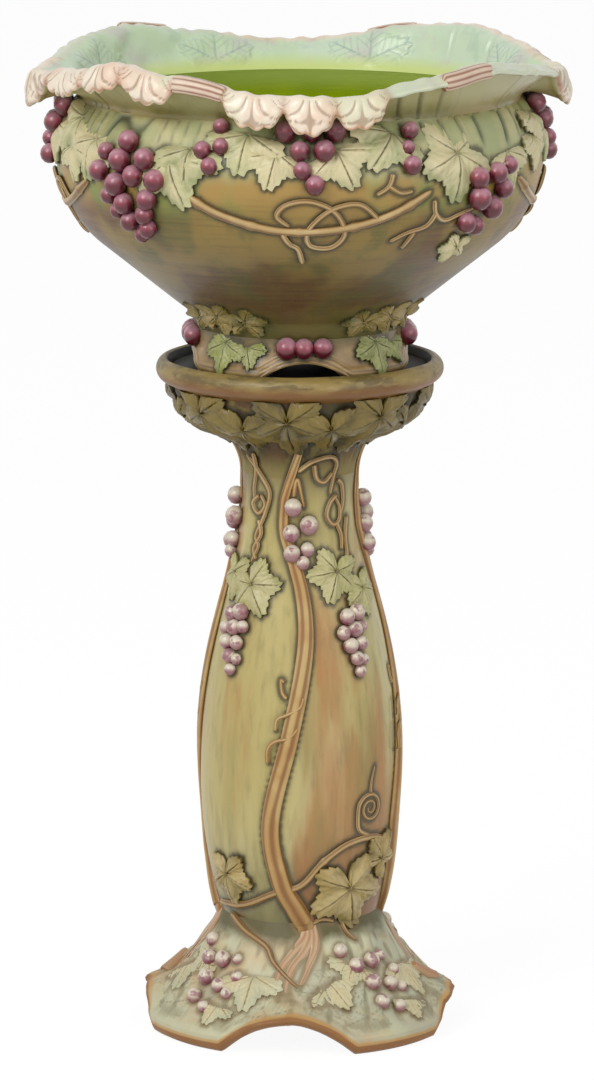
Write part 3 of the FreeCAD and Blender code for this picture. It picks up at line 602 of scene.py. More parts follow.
def leaf_glaze(r, pale, dark, vein, lights, spread=0.55):
    """Pale over the high parts, shaded near the stalk and in patches, dark in the veins and darkest
    under the edge."""
    patches = r.cloud(38, detail=4)
    wash = r.cloud(15)
    r.base = r.mix(patches.step(0.42, 0.62) * spread, pale, dark)
    r.wash(wash.step(0.46, 0.60) * 0.7, lights)
    r.wash((1 - r.mark("edge")).step(0.45, 1.0) * 0.5, dark)
    r.wash((r.mark("rise") * (0.4 + patches * 1.2)).step(0.35, 0.9) * 0.5, lights)
    r.wash((r.mark("edge") * (0.6 + patches * 0.8)).step(0.88, 1.08) * 0.45, dark)
    r.wash((r.mark("vein") * (0.45 + patches)).step(0.25, 1.0) * 0.7, vein)
    # Painted shade under the leaf's edge, where it turns down into the wall, in the vein colour.
    r.wash(r.mark("side").step(0.2, 0.9) * 0.85, vein)
    return r.finish(0.34 + patches * 0.2, r.cloud(260, detail=2), coat=0.15, depth=0.0004)


def grape_glaze(r, body, bloom, deep, low, high, spots):
    """A body colour with bloom where a grape faces up, and the deep colour below and at its foot."""
    up = r.mark("up") * 2 - 1
    patches = r.cloud(62, detail=3)
    # Painted highlight where the grape faces up.
    r.base = r.mix((up + patches * 0.9).step(0.45, 1.3) * high, body, bloom)
    # Painted shade where the grape faces down.
    r.wash((patches * 0.9 - up).step(0.0, 0.8) * low, deep)
    r.wash(r.cloud(95, detail=2).step(0.54, 0.62) * spots, deep)
    # Painted contact shade at the grape's foot against the wall.
    r.wash(r.mark("root").step(0.35, 0.95) * 0.85, deep)
    return r.finish(0.24 + patches * 0.18, r.cloud(320, detail=2), coat=0.35, depth=0.0003)


def bark_glaze(r, body, groove, light, foot):
    """A body colour with lights on the ridges, dark in the grooves and along the wall."""
    grain = r.cloud(46, (1, 1, 0.25), 4)
    patches = r.cloud(18)
    r.base = r.mix(patches.step(0.45, 0.62) * 0.7, body, light)
    r.wash(r.mark("ridge").step(0.5, 1.0) * 0.4, light)
    r.wash((1 - r.mark("ridge") + grain * 0.5).step(0.6, 1.2) * 0.85, groove)
    # Painted contact shade along the wall.
    r.wash(r.mark("root").step(0.2, 0.85) * 0.9, foot)
    r.wash((1 - r.height() / 0.25).step(0.25, 0.85) * 0.6, groove)
    return r.finish(0.38 + grain * 0.16, grain + r.cloud(240, detail=2) * 0.4, coat=0.15, depth=0.0006)


def toned(kind, name, *tones):
    """A glaze of a kind from its tones: names of colours, screen values of others, and shares."""

    def build(c, r):
        return kind(r, *[getattr(c, tone) if isinstance(tone, str) else
                         tint(*tone) if isinstance(tone, tuple) else tone for tone in tones])

    build.__name__ = name
    return made_once(build)


pale_leaf_glaze = toned(leaf_glaze, "pale_leaf_glaze", "leaf", "leaf_dark", "vein", (226, 212, 168), 0.8)
column_leaf_glaze = toned(leaf_glaze, "column_leaf_glaze", (190, 184, 124), (146, 142, 84), (84, 72, 40),
                          (206, 196, 148))
low_leaf_glaze = toned(leaf_glaze, "low_leaf_glaze", (176, 152, 90), (128, 112, 58), (70, 54, 26),
                       (204, 184, 130), 0.8)
collar_leaf_glaze = toned(leaf_glaze, "collar_leaf_glaze", (104, 88, 36), "collar", (32, 28, 10),
                          "collar_gold", 0.95)
base_leaf_glaze = toned(leaf_glaze, "base_leaf_glaze", (210, 206, 168), (186, 186, 154), (138, 118, 82),
                        (220, 204, 158), 0.6)
foot_leaf_glaze = toned(leaf_glaze, "foot_leaf_glaze", "foot_leaf", (104, 108, 58), (48, 62, 42),
                        (178, 178, 124))
heel_leaf_glaze = toned(leaf_glaze, "heel_leaf_glaze", (128, 112, 50), (84, 84, 38), (44, 38, 18),
                        (170, 146, 84), 0.8)
plum_glaze = toned(grape_glaze, "plum_glaze", "grape", "grape_top_highlight", "grape_shade_and_spots", 0.9, 0.8, 0.2)
pale_grape_glaze = toned(grape_glaze, "pale_grape_glaze", "pale_grape", (226, 216, 196), "blush",
                         0.75, 0.7, 0.7)
trunk_glaze = toned(bark_glaze, "trunk_glaze", "trunk", "trunk_dark", (206, 178, 116), (84, 66, 34))
stem_glaze = toned(bark_glaze, "stem_glaze", "stem", (120, 82, 44), (208, 180, 126), "stem_contact_shade")
root_glaze = toned(bark_glaze, "root_glaze", (206, 170, 136), (176, 128, 86), (214, 198, 160),
                   (178, 154, 116))
rim_stem_glaze = toned(bark_glaze, "rim_stem_glaze", (222, 194, 170), (140, 88, 62), (236, 214, 192),
                       (150, 104, 66))


@made_once
def column_glaze(c, r):
    """Sage with pale lights and orange-brown streaks down it, dark round the sprigs and at both ends."""
    streaks = r.cloud(16, (1, 1, 0.14), 4)
    broad = r.cloud(7, (1, 1, 0.3), 2)
    fine = r.cloud(130, (1, 1, 0.2), 4)
    r.base = r.mix(broad.step(0.42, 0.62), c.column, c.column_pale)
    r.wash((streaks * 0.65 + broad * 0.35).step(0.48, 0.60) * 0.8, c.streak)
    r.wash(r.cloud(12, (1, 1, 0.2), 3).step(0.54, 0.68) * 0.5, 140, 136, 72)
    r.wash(fine.step(0.45, 0.75) * 0.35, 124, 108, 60)
    high = r.height()
    low = r.mix(streaks.step(0.45, 0.6), tint(74, 74, 32), tint(128, 82, 36))
    r.wash((1 - high / 0.3 + streaks * 0.5).step(0.45, 0.95) * 0.85, low)
    r.wash((high + streaks * 0.05).step(0.545, 0.60) * 0.7, 96, 80, 38)
    # Pooled glaze and painted contact shade round the sprigs.
    r.wash((r.mark("pool") * (0.7 + streaks * 0.6)).step(0.06, 0.85) * 0.85, c.pooled_glaze_and_shade)
    return r.finish(0.34 + streaks * 0.2, fine + streaks, coat=0.18, depth=0.0006)


@made_once
def collar_glaze(c, r):
    """Dark olive and brown run into each other."""
    r.base = r.mix(r.cloud(26, detail=4).step(0.42, 0.62), c.collar, tint(96, 62, 28))
    r.wash(r.cloud(44, detail=4).step(0.54, 0.68) * 0.6, 140, 124, 62)
    r.wash((0.6 - r.height()).step(0.004, 0.033), 140, 124, 70)
    # Pooled glaze and painted contact shade round the sprigs.
    r.wash(r.mark("pool").step(0.1, 0.9) * 0.8, 38, 32, 14)
    return r.finish(0.55 + r.cloud(30) * 0.15, r.cloud(120, detail=3), coat=0.0, depth=0.001)


@made_once
def dish_glaze(c, r):
    """Olive tan streaked along the rolled rim, brown below it, dark green in the recess."""
    brushed = r.cloud(22, (1, 1, 3), 4)
    r.base = r.mix(brushed.step(0.42, 0.62), c.dish, tint(108, 92, 50))
    r.wash(r.cloud(60, (1, 1, 4), 3).step(0.5, 0.7) * 0.5, 176, 156, 106)
    r.wash(((r.height() * -1) + brushed * 0.008).step(-0.668, -0.658) * 0.9, c.dish_brown)
    # The recess: dark glaze, deepened as painted shade under the bowl's foot.
    r.wash(r.mark("within"), r.mix(brushed.step(0.5, 0.7) * 0.5, c.dish_recess_glaze_and_shade, tint(66, 50, 34)))
    gloss = 0.38 + brushed * 0.2 + r.mark("within") * 0.3
    return r.finish(gloss, r.cloud(90, detail=3), coat=0.05, depth=0.0008)


@made_once
def foot_glaze(c, r):
    """Tan bark stripes along the foot's band, and brown pink above it."""
    patches = r.cloud(24, detail=4)
    r.base = r.mix(patches.step(0.42, 0.62), c.foot, tint(150, 120, 70))
    r.wash(r.mark("band") * 0.7, 186, 158, 102)
    r.wash(r.mark("groove") * 0.8, 100, 66, 40)
    r.wash(r.height().step(0.697, 0.712) * 0.8, 92, 86, 42)
    # Pooled glaze and painted contact shade round the sprigs.
    r.wash(r.mark("pool").step(0.1, 0.9) * 0.85, c.pooled_glaze_and_shade)
    return r.finish(0.36 + patches * 0.14, r.cloud(130, (1, 1, 3), 3), depth=0.0007)


@made_once
def base_glaze(c, r):
    """Pale grey green washed with pink and sand, brown round the sprigs, amber at the lip and darker
    by the column."""
    wash = r.cloud(18, detail=4)
    mist = r.cloud(9, detail=2)
    fine = r.cloud(70, detail=4)
    r.base = r.mix(wash.step(0.44, 0.62) * 0.85, c.base, c.base_blush)
    r.wash(mist.step(0.48, 0.60) * 0.6, 182, 188, 166)
    r.wash(fine.step(0.5, 0.7) * 0.5, 206, 194, 150)
    r.wash(r.mark("vein") * 0.6, 120, 104, 74)
    r.wash(r.mark("groove") * 0.6, 132, 124, 92)
    amber = r.mix(fine.step(0.4, 0.65), c.base_edge, tint(196, 152, 88))
    r.wash((r.mark("lip") + wash * 0.35).step(0.75, 1.2), amber)
    r.wash(r.mark("lip").step(0.95, 1.0) * 0.8, 134, 82, 38)
    r.wash((r.height() + wash * 0.04).step(0.112, 0.130) * 0.95, 84, 78, 36)
    # Pooled glaze and painted contact shade round the sprigs.
    r.wash((r.mark("pool") * (0.7 + wash * 0.6)).step(0.1, 0.9) * 0.7, 132, 112, 78)
    return r.finish(0.5 + fine * 0.16, fine + wash, coat=0.05, depth=0.0012)


# --- the walls -------------------------------------------------------------------------------------


# leaves in the clay of each quarter of the base: azimuth, distance down the slope, length and tip
BASE_PRESSED = ((-62, -0.012, 0.036, 20), (-8, 0.030, 0.032, -12), (16, 0.006, 0.034, 24),
                (33, 0.040, 0.030, -8), (62, 0.034, 0.032, 12))


def build_base():
    """The skirt carried round the axis, its foot raised by the arches and its lip rolled out."""
    outer = evenly(base_face, 0.003)
    inner = evenly(path_of((0.068, 0.118), (0.068, 0.107), (0.1414, 0.015), (0.148, 0.0)), 0.012)
    grid, azimuth, face = turned_wall(outer, inner, 480)
    height = grid.points[..., 2]
    radius = np.hypot(grid.points[..., 0], grid.points[..., 1])
    sill = arched(azimuth, 0.152, 0.080, 0.030, 0.006, 0.014, 0.079)
    level = np.where(height < 0.1175, sill + height * (0.118 - sill) / 0.118, height)
    skin = stand_skin.radius(level)
    near = np.exp(-((level - sill - 0.006) / 0.010) ** 2)
    lip = near * np.maximum(0.1575 - skin, 0) * 0.9 * fall(sill, 0, 0.01)
    inside = 1 - face
    hollow = np.interp(level, [0, 0.015, 0.107, 0.12], [0.148, 0.1414, 0.068, 0.068])
    new_radius = np.where(inside > 0, np.minimum(radius, hollow) + lip * 0.8, skin + lip)
    lumps = ripple(azimuth, level, (5, 17), (20, 90), 3) * 0.0018
    fine = ripple(azimuth, level, (20, 44), (60, 200), 4)
    slope = fall(level, 0.018, 0.035) * (1 - fall(level, 0.10, 0.116)) * face
    ring = np.sin(np.clip(level - sill, 0, 0.03) / 0.0075 * math.pi * 2) * (1 - inside)
    pressed = np.zeros_like(level)
    veins = np.zeros_like(level)
    along = (level - 0.060) * 1.55
    for heart, down, size, tip in BASE_PRESSED:
        for quarter in QUARTERS:
            across = np.radians(apart(azimuth, heart + quarter))[None, :] * new_radius
            within, lines = pressed_leaf(across, along + down, size, tip)
            pressed = np.maximum(pressed, within * slope)
            veins = np.maximum(veins, lines * within * slope)
    turned_in = np.clip(1 - (level - sill) / 0.010, 0, 1)
    new_radius = new_radius - face * 0.008 * (1 - np.sqrt(1 - turned_in ** 2)) \
        + (lumps + fine * 0.0007) * slope + 0.0022 * pressed - 0.0008 * veins \
        + 0.0008 * ring * fall(level - sill, 0.012, 0.018) * (1 - fall(level - sill, 0.024, 0.03))
    reshape(grid, new_radius, level)
    grid.marks = {"lip": (1 - fall(level - sill, 0.010, 0.020)) * (1 - inside * 0.2), "vein": veins,
                  "groove": np.clip(fall(-fine, 0.2, 0.8) * slope + 3 * pressed * (1 - pressed), 0, 1)}
    pooled_glaze_and_shade(grid, STAND)
    piece("base_walls", [grid], STAND, "base_glaze", base_glaze(), ("pedestal_base",), crease=60)


def build_column():
    """The column's outline carried round the axis, with long shallow swells down it."""
    inner = path_of(*((radius - 0.011, height) for radius, height in (NECK, MEETING, BELLY, BASE_TOP)))
    grid, azimuth, face = turned_wall(evenly(column_face, 0.004), evenly(inner, 0.03), 360)
    level = grid.points[..., 2]
    swell = ripple(azimuth, level, (4, 13), (3, 12), 11) * 0.0007
    grid.pushed(swell * face * fall(level, 0.12, 0.15) * (1 - fall(level, 0.55, 0.565)))
    pooled_glaze_and_shade(grid, STAND)
    piece("column_walls", [grid], STAND, "column_glaze", column_glaze(), ("pedestal_column",))


def build_collar():
    """The flare's outline carried round the axis, creased like crumpled leaves under the dish."""
    inner = path_of((0.115, 0.652), (0.0853, 0.6249), (0.046, 0.565))
    grid, azimuth, face = turned_wall(evenly(flare_face, 0.003), evenly(inner, 0.02), 360)
    level = grid.points[..., 2]
    crease = ripple(azimuth, level, (14, 40), (40, 160), 21)
    inset = fall(level, 0.566, 0.585) * (1 - fall(level, 0.648, 0.652))
    grid.pushed((crease * 0.0014 - 0.0003) * face * inset)
    pooled_glaze_and_shade(grid, STAND)
    piece("collar_walls", [grid], STAND, "dish_glaze", collar_glaze(), ("pedestal_collar",))


def build_dish():
    """The dish's outline carried round the axis: a full rolled rim round a shallow recess."""
    roll = arc((0.1345, 0.6565), (0.1335, 0.6795), 0.0119, 1, 26)
    outline = path_of((0, 0.658), (0.1106, 0.658), (0.115, 0.652), (0.126, 0.652), (0.1325, 0.6555), roll,
                      arc((0.1335, 0.6795), (0.1265, 0.670), 0.018, 1, 8), (0, 0.670))
    outline = evenly(outline, 0.012)
    within = ((outline[:, 1:] > 0.6685) & (outline[:, :1] < 0.1318)).astype(float)
    grid, azimuth, _ = turned_wall(outline, outline[-1:], 360, closed=False)
    level = grid.points[..., 2]
    grid.marks["within"] = np.broadcast_to(within, level.shape)
    uneven = ripple(azimuth, level, (3, 12), (10, 60), 31) * 0.0005
    grid.pushed(uneven * (1 - within) * fall(level, 0.656, 0.662))
    piece("dish_walls", [grid], STAND, "dish_glaze", dish_glaze(), ("pedestal_dish",))


def build_foot():
    """The foot's ring carried round the axis, its band of bark lifted over four arches."""
    inner = evenly(path_of((0.091, 0.712), (0.091, 0.670)), 0.008)
    grid, azimuth, face = turned_wall(evenly(foot_face, 0.0015), inner, 400)
    height = grid.points[..., 2]
    sill = arched(azimuth, 0.105, 0.0582, 0.019, 0.002, 0.006, 0.053)
    low, rise = FOOT_LOW[1], 0.042
    level = low + sill + (height - low) * (rise - sill) / rise
    above = level - low - sill
    band = (1 - fall(above, 0.009, 0.014)) * face
    stripe = 0.5 + 0.5 * np.sin(above / 0.0026 * math.pi + ripple(azimuth, level, (3, 9), (5, 40), 5))
    radius = np.where(face > 0, bowl_skin.radius(level), 0.091)
    radius = radius + face * (band * (0.0012 + stripe * 0.0007) * fall(above, 0.0, 0.002)
                              + (1 - band) * ripple(azimuth, level, (6, 20), (40, 160), 6) * 0.0008)
    reshape(grid, radius, level)
    grid.marks = {"band": band, "groove": band * (1 - stripe) ** 2}
    pooled_glaze_and_shade(grid, BOWL)
    piece("foot_walls", [grid], BOWL, "bowl_glaze", foot_glaze(), ("bowl_foot",), BOWL_TURN)


def neck_folds(azimuth, level):
    """Folds round the neck: how strong they are, the wave of the folds, and the slits on its crests. The
    wave has 62 swells round the axis, that wander and slant this way and that."""
    wander = ripple(azimuth, level * 0, (5, 14), (0, 1), 41) * 4.8
    slant = (level - 0.9) * 95 * np.sin(np.radians(azimuth * 3 + 40))
    wave = np.sin(np.radians(azimuth) * 62 + wander + slant)
    lengths = 0.5 + 0.5 * ripple(azimuth, level * 0, (24, 40), (0, 1), 45)
    patchy = 0.45 + 0.55 * fall(ripple(azimuth, level * 0, (3, 7), (0, 1), 42), -0.5, 0.3)
    strength = fall(level, 0.898 + 0.014 * lengths, 0.912 + 0.016 * lengths) * patchy
    return strength, wave, np.exp(-(1 - wave) / 0.16)


def build_bowl():
    """The bowl's outline carried round the axis; leaf folds crinkle the neck where slits of a slanting
    wave are pressed in, strongest just under the rim."""
    mouth, side, bend = (0.210, 0.940), (0.231, 0.887), (0.1935, 0.8067)
    inner = path_of(mouth, arc(mouth, side, upright(side, mouth), -1),
                    arc(side, bend, upright(side, bend), -1), (0.1045, 0.7357), (0.086, 0.722), (0.0, 0.722))
    outer = evenly(path_of((0.0, 0.712), FOOT_TOP, bowl_face), 0.0035)
    grid, azimuth, face = turned_wall(outer, evenly(inner, 0.014), 540, closed=False)
    level = grid.points[..., 2]
    folds, wave, slit = neck_folds(azimuth, level)
    strength = folds * face * (1 - fall(level, 0.9395, 0.940))
    heave = ripple(azimuth, level, (6, 18), (10, 50), 43) * 0.0012 * fall(level, 0.86, 0.89) * face
    outer_only = face * fall(level, 0.730, 0.745) * (1 - fall(level, 0.936, 0.940))
    grid.pushed(strength * (0.0010 * wave - 0.0034 * slit) + heave * (1 - fall(level, 0.936, 0.940))
                + outer_only * ripple(azimuth, level, (4, 12), (8, 30), 44) * 0.0005)
    # Marks the slits of the folds, for painted shade in them, and the inside.
    grid.marks = {"fold": strength * slit, "inside": np.broadcast_to(1 - face, level.shape)}
    pooled_glaze_and_shade(grid, BOWL)
    piece("bowl_walls", [grid], BOWL, "bowl_glaze", bowl_glaze(), ("bowl_wall",), BOWL_TURN)


# --- the ruffled rim -------------------------------------------------------------------------------

# turned-over leaves of the rim: middle azimuth, half width, droop, and again half way round
RIM_LOBES = ((-56, 27, 0.0190), (-2, 19, 0.0190), (-66.5, 8, 0.027), (-51.6, 6.7, 0.028), (-37.9, 7, 0.030),
             (-12.8, 6.7, 0.033), (-0.6, 5.6, 0.037), (10.5, 5.8, 0.032), (88, 11, 0.037), (-90, 12, 0.034))


def apart(azimuth, middle):
    """Degrees from a middle azimuth, the short way round."""
    return (azimuth - middle + 180) % 360 - 180


RIM_DROOP = 0.0115
CREASE_PITCH = 0.0074


def rim_forms(azimuth):
    """Tip radius, crest height, droop and lobe number of the rim at azimuths: each lobe hangs in a round
    arch over its half width, cut by teeth, and the deepest one there wins."""
    droop = np.full_like(azimuth, RIM_DROOP)
    lobed = np.zeros_like(azimuth)
    for middle, half, depth in RIM_LOBES:
        for turn in HALVES:
            off = apart(azimuth, middle + turn) / half
            arch = np.maximum(1 - np.abs(off) ** 2.4, 0) ** 0.5
            teeth = np.abs(np.sin(off * math.pi * max(2, round(half / 1.7)) / 2 + 0.8))
            hang = RIM_DROOP + (depth - RIM_DROOP) * arch + 0.0034 * (teeth - 0.7) * (arch > 0.15)
            hang = np.where(np.abs(off) < 1, hang, 0)
            lobed = np.where(hang > droop, arch, lobed)
            droop = np.maximum(droop, hang)
    pointed = sum(bump(apart(azimuth, turn), 0, 9) for turn in (90, -90))
    crest = RIM_HEIGHT - RIM_WAVE * np.cos(np.radians(azimuth * 4))
    crest = crest + 0.0016 * ripple(azimuth, 0, (9, 26), (0, 1), 51)
    tip = RIM_RADIUS + 0.009 * pointed + 0.004 * lobed + 0.0012 * ripple(azimuth, 0, (12, 30), (0, 1), 52)
    return tip, crest, droop, lobed


def fanned(off, half, drop, width):
    """Lines that leave the crest a pitch apart, unevenly, and lean outward the more the farther they are
    from a lobe's middle: 1 on each of them and 0 a width away."""
    start = np.radians(off) * 0.258 - drop * 1.1 * off / half
    start = start + 0.3 * CREASE_PITCH * np.sin(start / CREASE_PITCH * 2.3)
    gap = (start / CREASE_PITCH + 0.5) % 1 - 0.5
    return np.exp(-(gap * CREASE_PITCH / width) ** 2)


def build_rim():
    """A closed section carried round the axis: it flares out of the neck, rolls over into hanging
    leaves and falls inside to the mouth.  A smooth curve runs through twelve corners that change with
    the azimuth, and puffs between the veins are pushed out of it."""
    azimuth = np.linspace(0, 360, 1080, endpoint=False)
    tip, crest, droop, lobed = rim_forms(azimuth)
    low = MOUTH[1]
    one = np.ones_like(azimuth)
    corners = np.array([
        (0.220 * one, low * one),
        (0.2222 * one, low + 0.0065 * one),
        (tip - 0.013, crest - droop * 0.75 - 0.003),
        (tip - 0.0045, crest - droop + 0.0006),
        (tip + 0.0005, crest - droop + 0.0018),
        (tip + 0.0015, crest - droop * 0.55),
        (tip - 0.005, crest - 0.0035),
        (tip - 0.014, crest),
        (tip - 0.025, crest - 0.006),
        (0.2215 + 0.3 * (tip - 0.256), low + 0.016 * one),
        (0.2105 * one, low + 0.002 * one),
        (0.2100 * one, low * one)])
    count = len(corners)
    spans, places = [], []
    for index, steps in enumerate((3, 8, 12, 4, 4, 8, 6, 5, 26, 8, 2)):
        p0, p1, p2, p3 = [corners[(index + shift) % count] for shift in (-1, 0, 1, 2)]
        if index == 0:
            p0 = p1
        if index == count - 2:
            p3 = p2
        run = (np.arange(steps) / steps)[:, None, None]
        spans.append(cubic(p0, p1, p2, p3, run))
        places.append(index + run[:, 0, 0])
    section = np.concatenate(spans + [corners[-1:]])
    radius, height = section[:, 0], section[:, 1]
    turn = np.radians(azimuth)[None, :]
    points = np.stack([radius * np.sin(turn), -radius * np.cos(turn), height], -1)
    place = np.append(np.concatenate(places), count - 1)[:, None]
    over = fall(place, 3.2, 3.9) * (1 - fall(place, 7.2, 7.8))
    within = fall(place, 7.2, 7.8)
    under = 1 - fall(place, 3.2, 3.9)
    grid = Grid(points, True)
    veins = np.zeros_like(height)
    folds = np.zeros_like(height)
    notch = np.zeros_like(azimuth)
    drop = crest[None, :] - height
    for middle, half, _ in RIM_LOBES:
        for shift in HALVES if half < 15 else ():
            off = apart(azimuth, middle + shift)
            held = (np.abs(off) < half)[None, :] * over
            veins = np.maximum(veins, held * fanned(off, half, drop, 0.0011) * fall(drop, 0, 0.004))
            folds = np.maximum(folds, held * fanned(off, half, drop, 0.0026) * fall(drop, 0, 0.012))
            notch = np.maximum(notch, bump(np.abs(off), half, 1.1))
    pressed = np.zeros_like(height)
    for heart, size in ((-22, 0.055), (20, 0.050), (62, 0.056), (112, 0.052)):
        for shift in HALVES:
            across = np.radians(apart(azimuth, heart + shift))[None, :] * 0.232
            inside, lines = pressed_leaf(across, (height - low - 0.010) * 1.35, size, 180 + heart / 5)
            pressed = np.maximum(pressed, inside * within)
            veins = np.maximum(veins, lines * within * inside)
    outline = 4 * pressed * (1 - pressed)
    swell = ripple(azimuth, height, (16, 40), (60, 200), 53)
    inner = within * fall(place, 7.6, 8.4) * (1 - fall(place, 9.3, 10))
    strength, wave, slit = neck_folds(azimuth[None, :], height)
    patchy = fall(ripple(azimuth, 0, (4, 11), (0, 1), 55), -0.3, 0.5)
    creased = strength * under * patchy * fall(place, 0, 0.5) * (1 - fall(place, 1.4, 2.7))
    puffs = 0.0009 * swell * (over * 0.5 + inner) + 0.0018 * pressed * inner \
        + 0.0008 * ripple(azimuth, height, (50, 90), (20, 60), 54) * over
    grid.pushed(creased * (0.0006 * wave - 0.0026 * slit) - 0.0006 * veins * (over + inner)
                - 0.0016 * folds + puffs)
    above_tip = np.maximum(height - (crest - droop), 0)
    # Among the glaze's marks: the slits of the creases under the rim, for painted shade in them.
    grid.marks = {"vein": np.clip(veins + 0.5 * outline * inner, 0, 1), "inside": within, "under": under,
                  "tip": np.exp(-above_tip / 0.0050) * over * (0.3 + 0.7 * lobed), "fold": creased * slit,
                  "notch": notch * np.exp(-above_tip / 0.012) * over, "plain": 1 - np.minimum(lobed * 1.5, 1)}
    grid.marks = {name: np.broadcast_to(mark, height.shape) for name, mark in grid.marks.items()}
    piece("rim_walls", [grid], BOWL, "rim_glaze", rim_glaze(), ("bowl_rim",), BOWL_TURN, crease=80)


# --- sprigs ----------------------------------------------------------------------------------------


def leaf_reach(bearing, teeth):
    """How far a vine leaf reaches at a bearing, as a share of its length: five lobes of a cosine, less
    towards the stalk, a notch at the stalk, and saw teeth round the edge."""
    reach = 0.86 + 0.14 * np.cos(np.radians(bearing / 65 * 360))
    reach = reach * (1 - 0.26 * np.abs(bearing) / 180)
    reach = reach * (1 - 0.8 * np.exp(-((180 - np.abs(bearing)) / 12) ** 2))
    saw = (bearing * teeth / 360) % 1
    return reach * (1 + 0.12 * (np.where(saw < 0.7, saw / 0.7, (1 - saw) / 0.3) - 0.5))


def leaf_veins(x, y, size, ring):
    """Main veins out of a leaf's heart along five bearings, and side veins that leave the nearest of
    them as chevrons; both are 1 on the vein and thin out towards the edge."""
    bearing = np.degrees(np.arctan2(x, y))
    main = np.zeros_like(x)
    twig = np.zeros_like(x)
    near = np.full_like(x, 1e9)
    for vein in (0, 62, -62, 122, -122):
        turn = np.radians(vein)
        ahead = x * np.sin(turn) + y * np.cos(turn)
        aside = x * np.cos(turn) - y * np.sin(turn)
        gap = np.abs((bearing - vein + 180) % 360 - 180)
        line = np.exp(-(aside / (0.020 * size * (1.25 - ring * 0.8))) ** 2) * (ahead > 0) * (ring < 0.97)
        main = np.maximum(main, line)
        ribs = ((ahead - 0.85 * np.abs(aside)) / (size * 0.17)) % 1
        rib = np.exp(-((ribs - 0.5) / 0.13) ** 2) * fall(ring, 0.18, 0.4) * (1 - fall(ring, 0.9, 1.0))
        twig = np.where(gap < near, rib, twig)
        near = np.minimum(near, gap)
    return main, twig


def vine_leaf(skin, azimuth, height, size, tip, sunk, dome, curl):
    """A vine leaf on a wall: its outline is drawn in by rings to its heart, it domes between veins that
    run out of the heart, its under side lies in the wall, and above the heart it can sink away."""
    thick = sizes().leaf_thickness
    bearing = np.linspace(-180, 180, 132, endpoint=False)
    reach = leaf_reach(bearing, sizes().teeth)
    ring = np.concatenate([np.linspace(0, 1, 17), [1.0, 0.97, 0.0]])[:, None]
    x = size * reach * ring * np.sin(np.radians(bearing))
    y = size * reach * ring * np.cos(np.radians(bearing))
    main, twig = leaf_veins(x, y, size, ring)
    valley = np.cos(np.radians(bearing / 65 * 360))[None, :]
    rise = (1 - ring ** 2.2) * (0.65 + 0.35 * valley) \
        + 0.25 * (1 - main) * np.sin(math.pi * np.clip(ring, 0, 1))
    wave = 0.35 * thick * np.sin(np.radians(bearing * 7 + azimuth * 9))[None, :] * ring ** 4
    top = thick + dome * rise + curl * ring ** 3 * (0.5 + 0.5 * valley) + wave - 0.0011 * main - 0.0009 * twig
    lift = np.broadcast_to(top, x.shape).copy()
    lift[17] = 0.3 * thick
    lift[18:] = -0.0015
    gone = sunk * fall(-y / size, -0.30, 0.28)
    lift = lift * (1 - gone) - 0.005 * gone
    aim = np.radians(tip)
    across = x * np.cos(aim) + y * np.sin(aim)
    along = -y * np.cos(aim) + x * np.sin(aim)
    points = skin.lay(azimuth, height, across, along, lift)
    # Marks the band under the leaf's edge that turns down into the wall, for painted shade under the edge.
    side = np.zeros_like(x)
    side[17:] = 1.0
    return Grid(points, False, vein=np.clip(main + 0.5 * twig, 0, 1) * (1 - side), edge=ring + 0 * x,
                rise=np.clip(rise, 0, 1) * (1 - side), side=side, gone=gone)


def pressed_leaf(across, along, size, tip):
    """A leaf in the clay of a wall, by the distances of its points from the leaf's heart, with its tip
    turned from straight down: 1 inside it and 0 outside, and its veins."""
    aim = np.radians(tip)
    x = across * np.cos(aim) + along * np.sin(aim)
    y = across * np.sin(aim) - along * np.cos(aim)
    ring = np.hypot(x, y) / (size * leaf_reach(np.degrees(np.arctan2(x, y)), 30))
    main, twig = leaf_veins(x, y, size, np.clip(ring, 0, 1))
    return 1 - fall(ring, 0.92, 1.04), (main + 0.5 * twig) * (ring < 0.95)


def grape(middle, out, radius, chance):
    """A grape: a ball a little longer than wide, its rows and columns turned about a leaning axis."""
    rows, columns = 8, 12
    polar = np.linspace(0, math.pi, rows)[:, None]
    turn = np.linspace(0, 2 * math.pi, columns, endpoint=False)[None, :]
    axis = np.array([chance.uniform(-0.3, 0.3), chance.uniform(-0.3, 0.3), 1.0])
    axis /= np.linalg.norm(axis)
    one = np.cross(axis, [0.0, 1.0, 0.2])
    one /= np.linalg.norm(one)
    other = np.cross(axis, one)
    way = (np.sin(polar) * np.cos(turn))[..., None] * one \
        + (np.sin(polar) * np.sin(turn))[..., None] * other \
        + (np.cos(polar) + 0 * turn)[..., None] * axis * 1.06
    # Marks for painted light: how far the grape faces into the wall, for painted contact shade at its foot,
    # and how far it faces up, for a painted highlight on top.
    root = np.clip(-(way @ out), 0, 1)
    return Grid(middle + way * radius, False, root=root, up=0.5 + 0.5 * np.clip(way[..., 2], -1, 1))


def cluster(skin, spots, radius, seed, sunk=0.3):
    """Grapes at given places on a wall, each with its share of the radius: the larger stand prouder."""
    chance = np.random.default_rng(seed)
    grapes = []
    for azimuth, height, share in spots:
        zero = np.array(0.0)
        middle = skin.lay(azimuth, height, zero, zero, np.array(radius * (0.9 * share - sunk)))
        grapes.append(grape(middle, skin.frame(azimuth, height)[3], radius * share, chance))
    return grapes


def smooth_route(route, steps):
    """A curve through given places: each span is the cubic set by its two places and their neighbours."""
    places = np.array([route[0], *route, route[-1]], float)
    run = (np.arange(steps) / steps)[:, None]
    spans = [cubic(*four, run) for four in zip(places, places[1:], places[2:], places[3:])]
    return np.concatenate([*spans, places[-2:-1]])


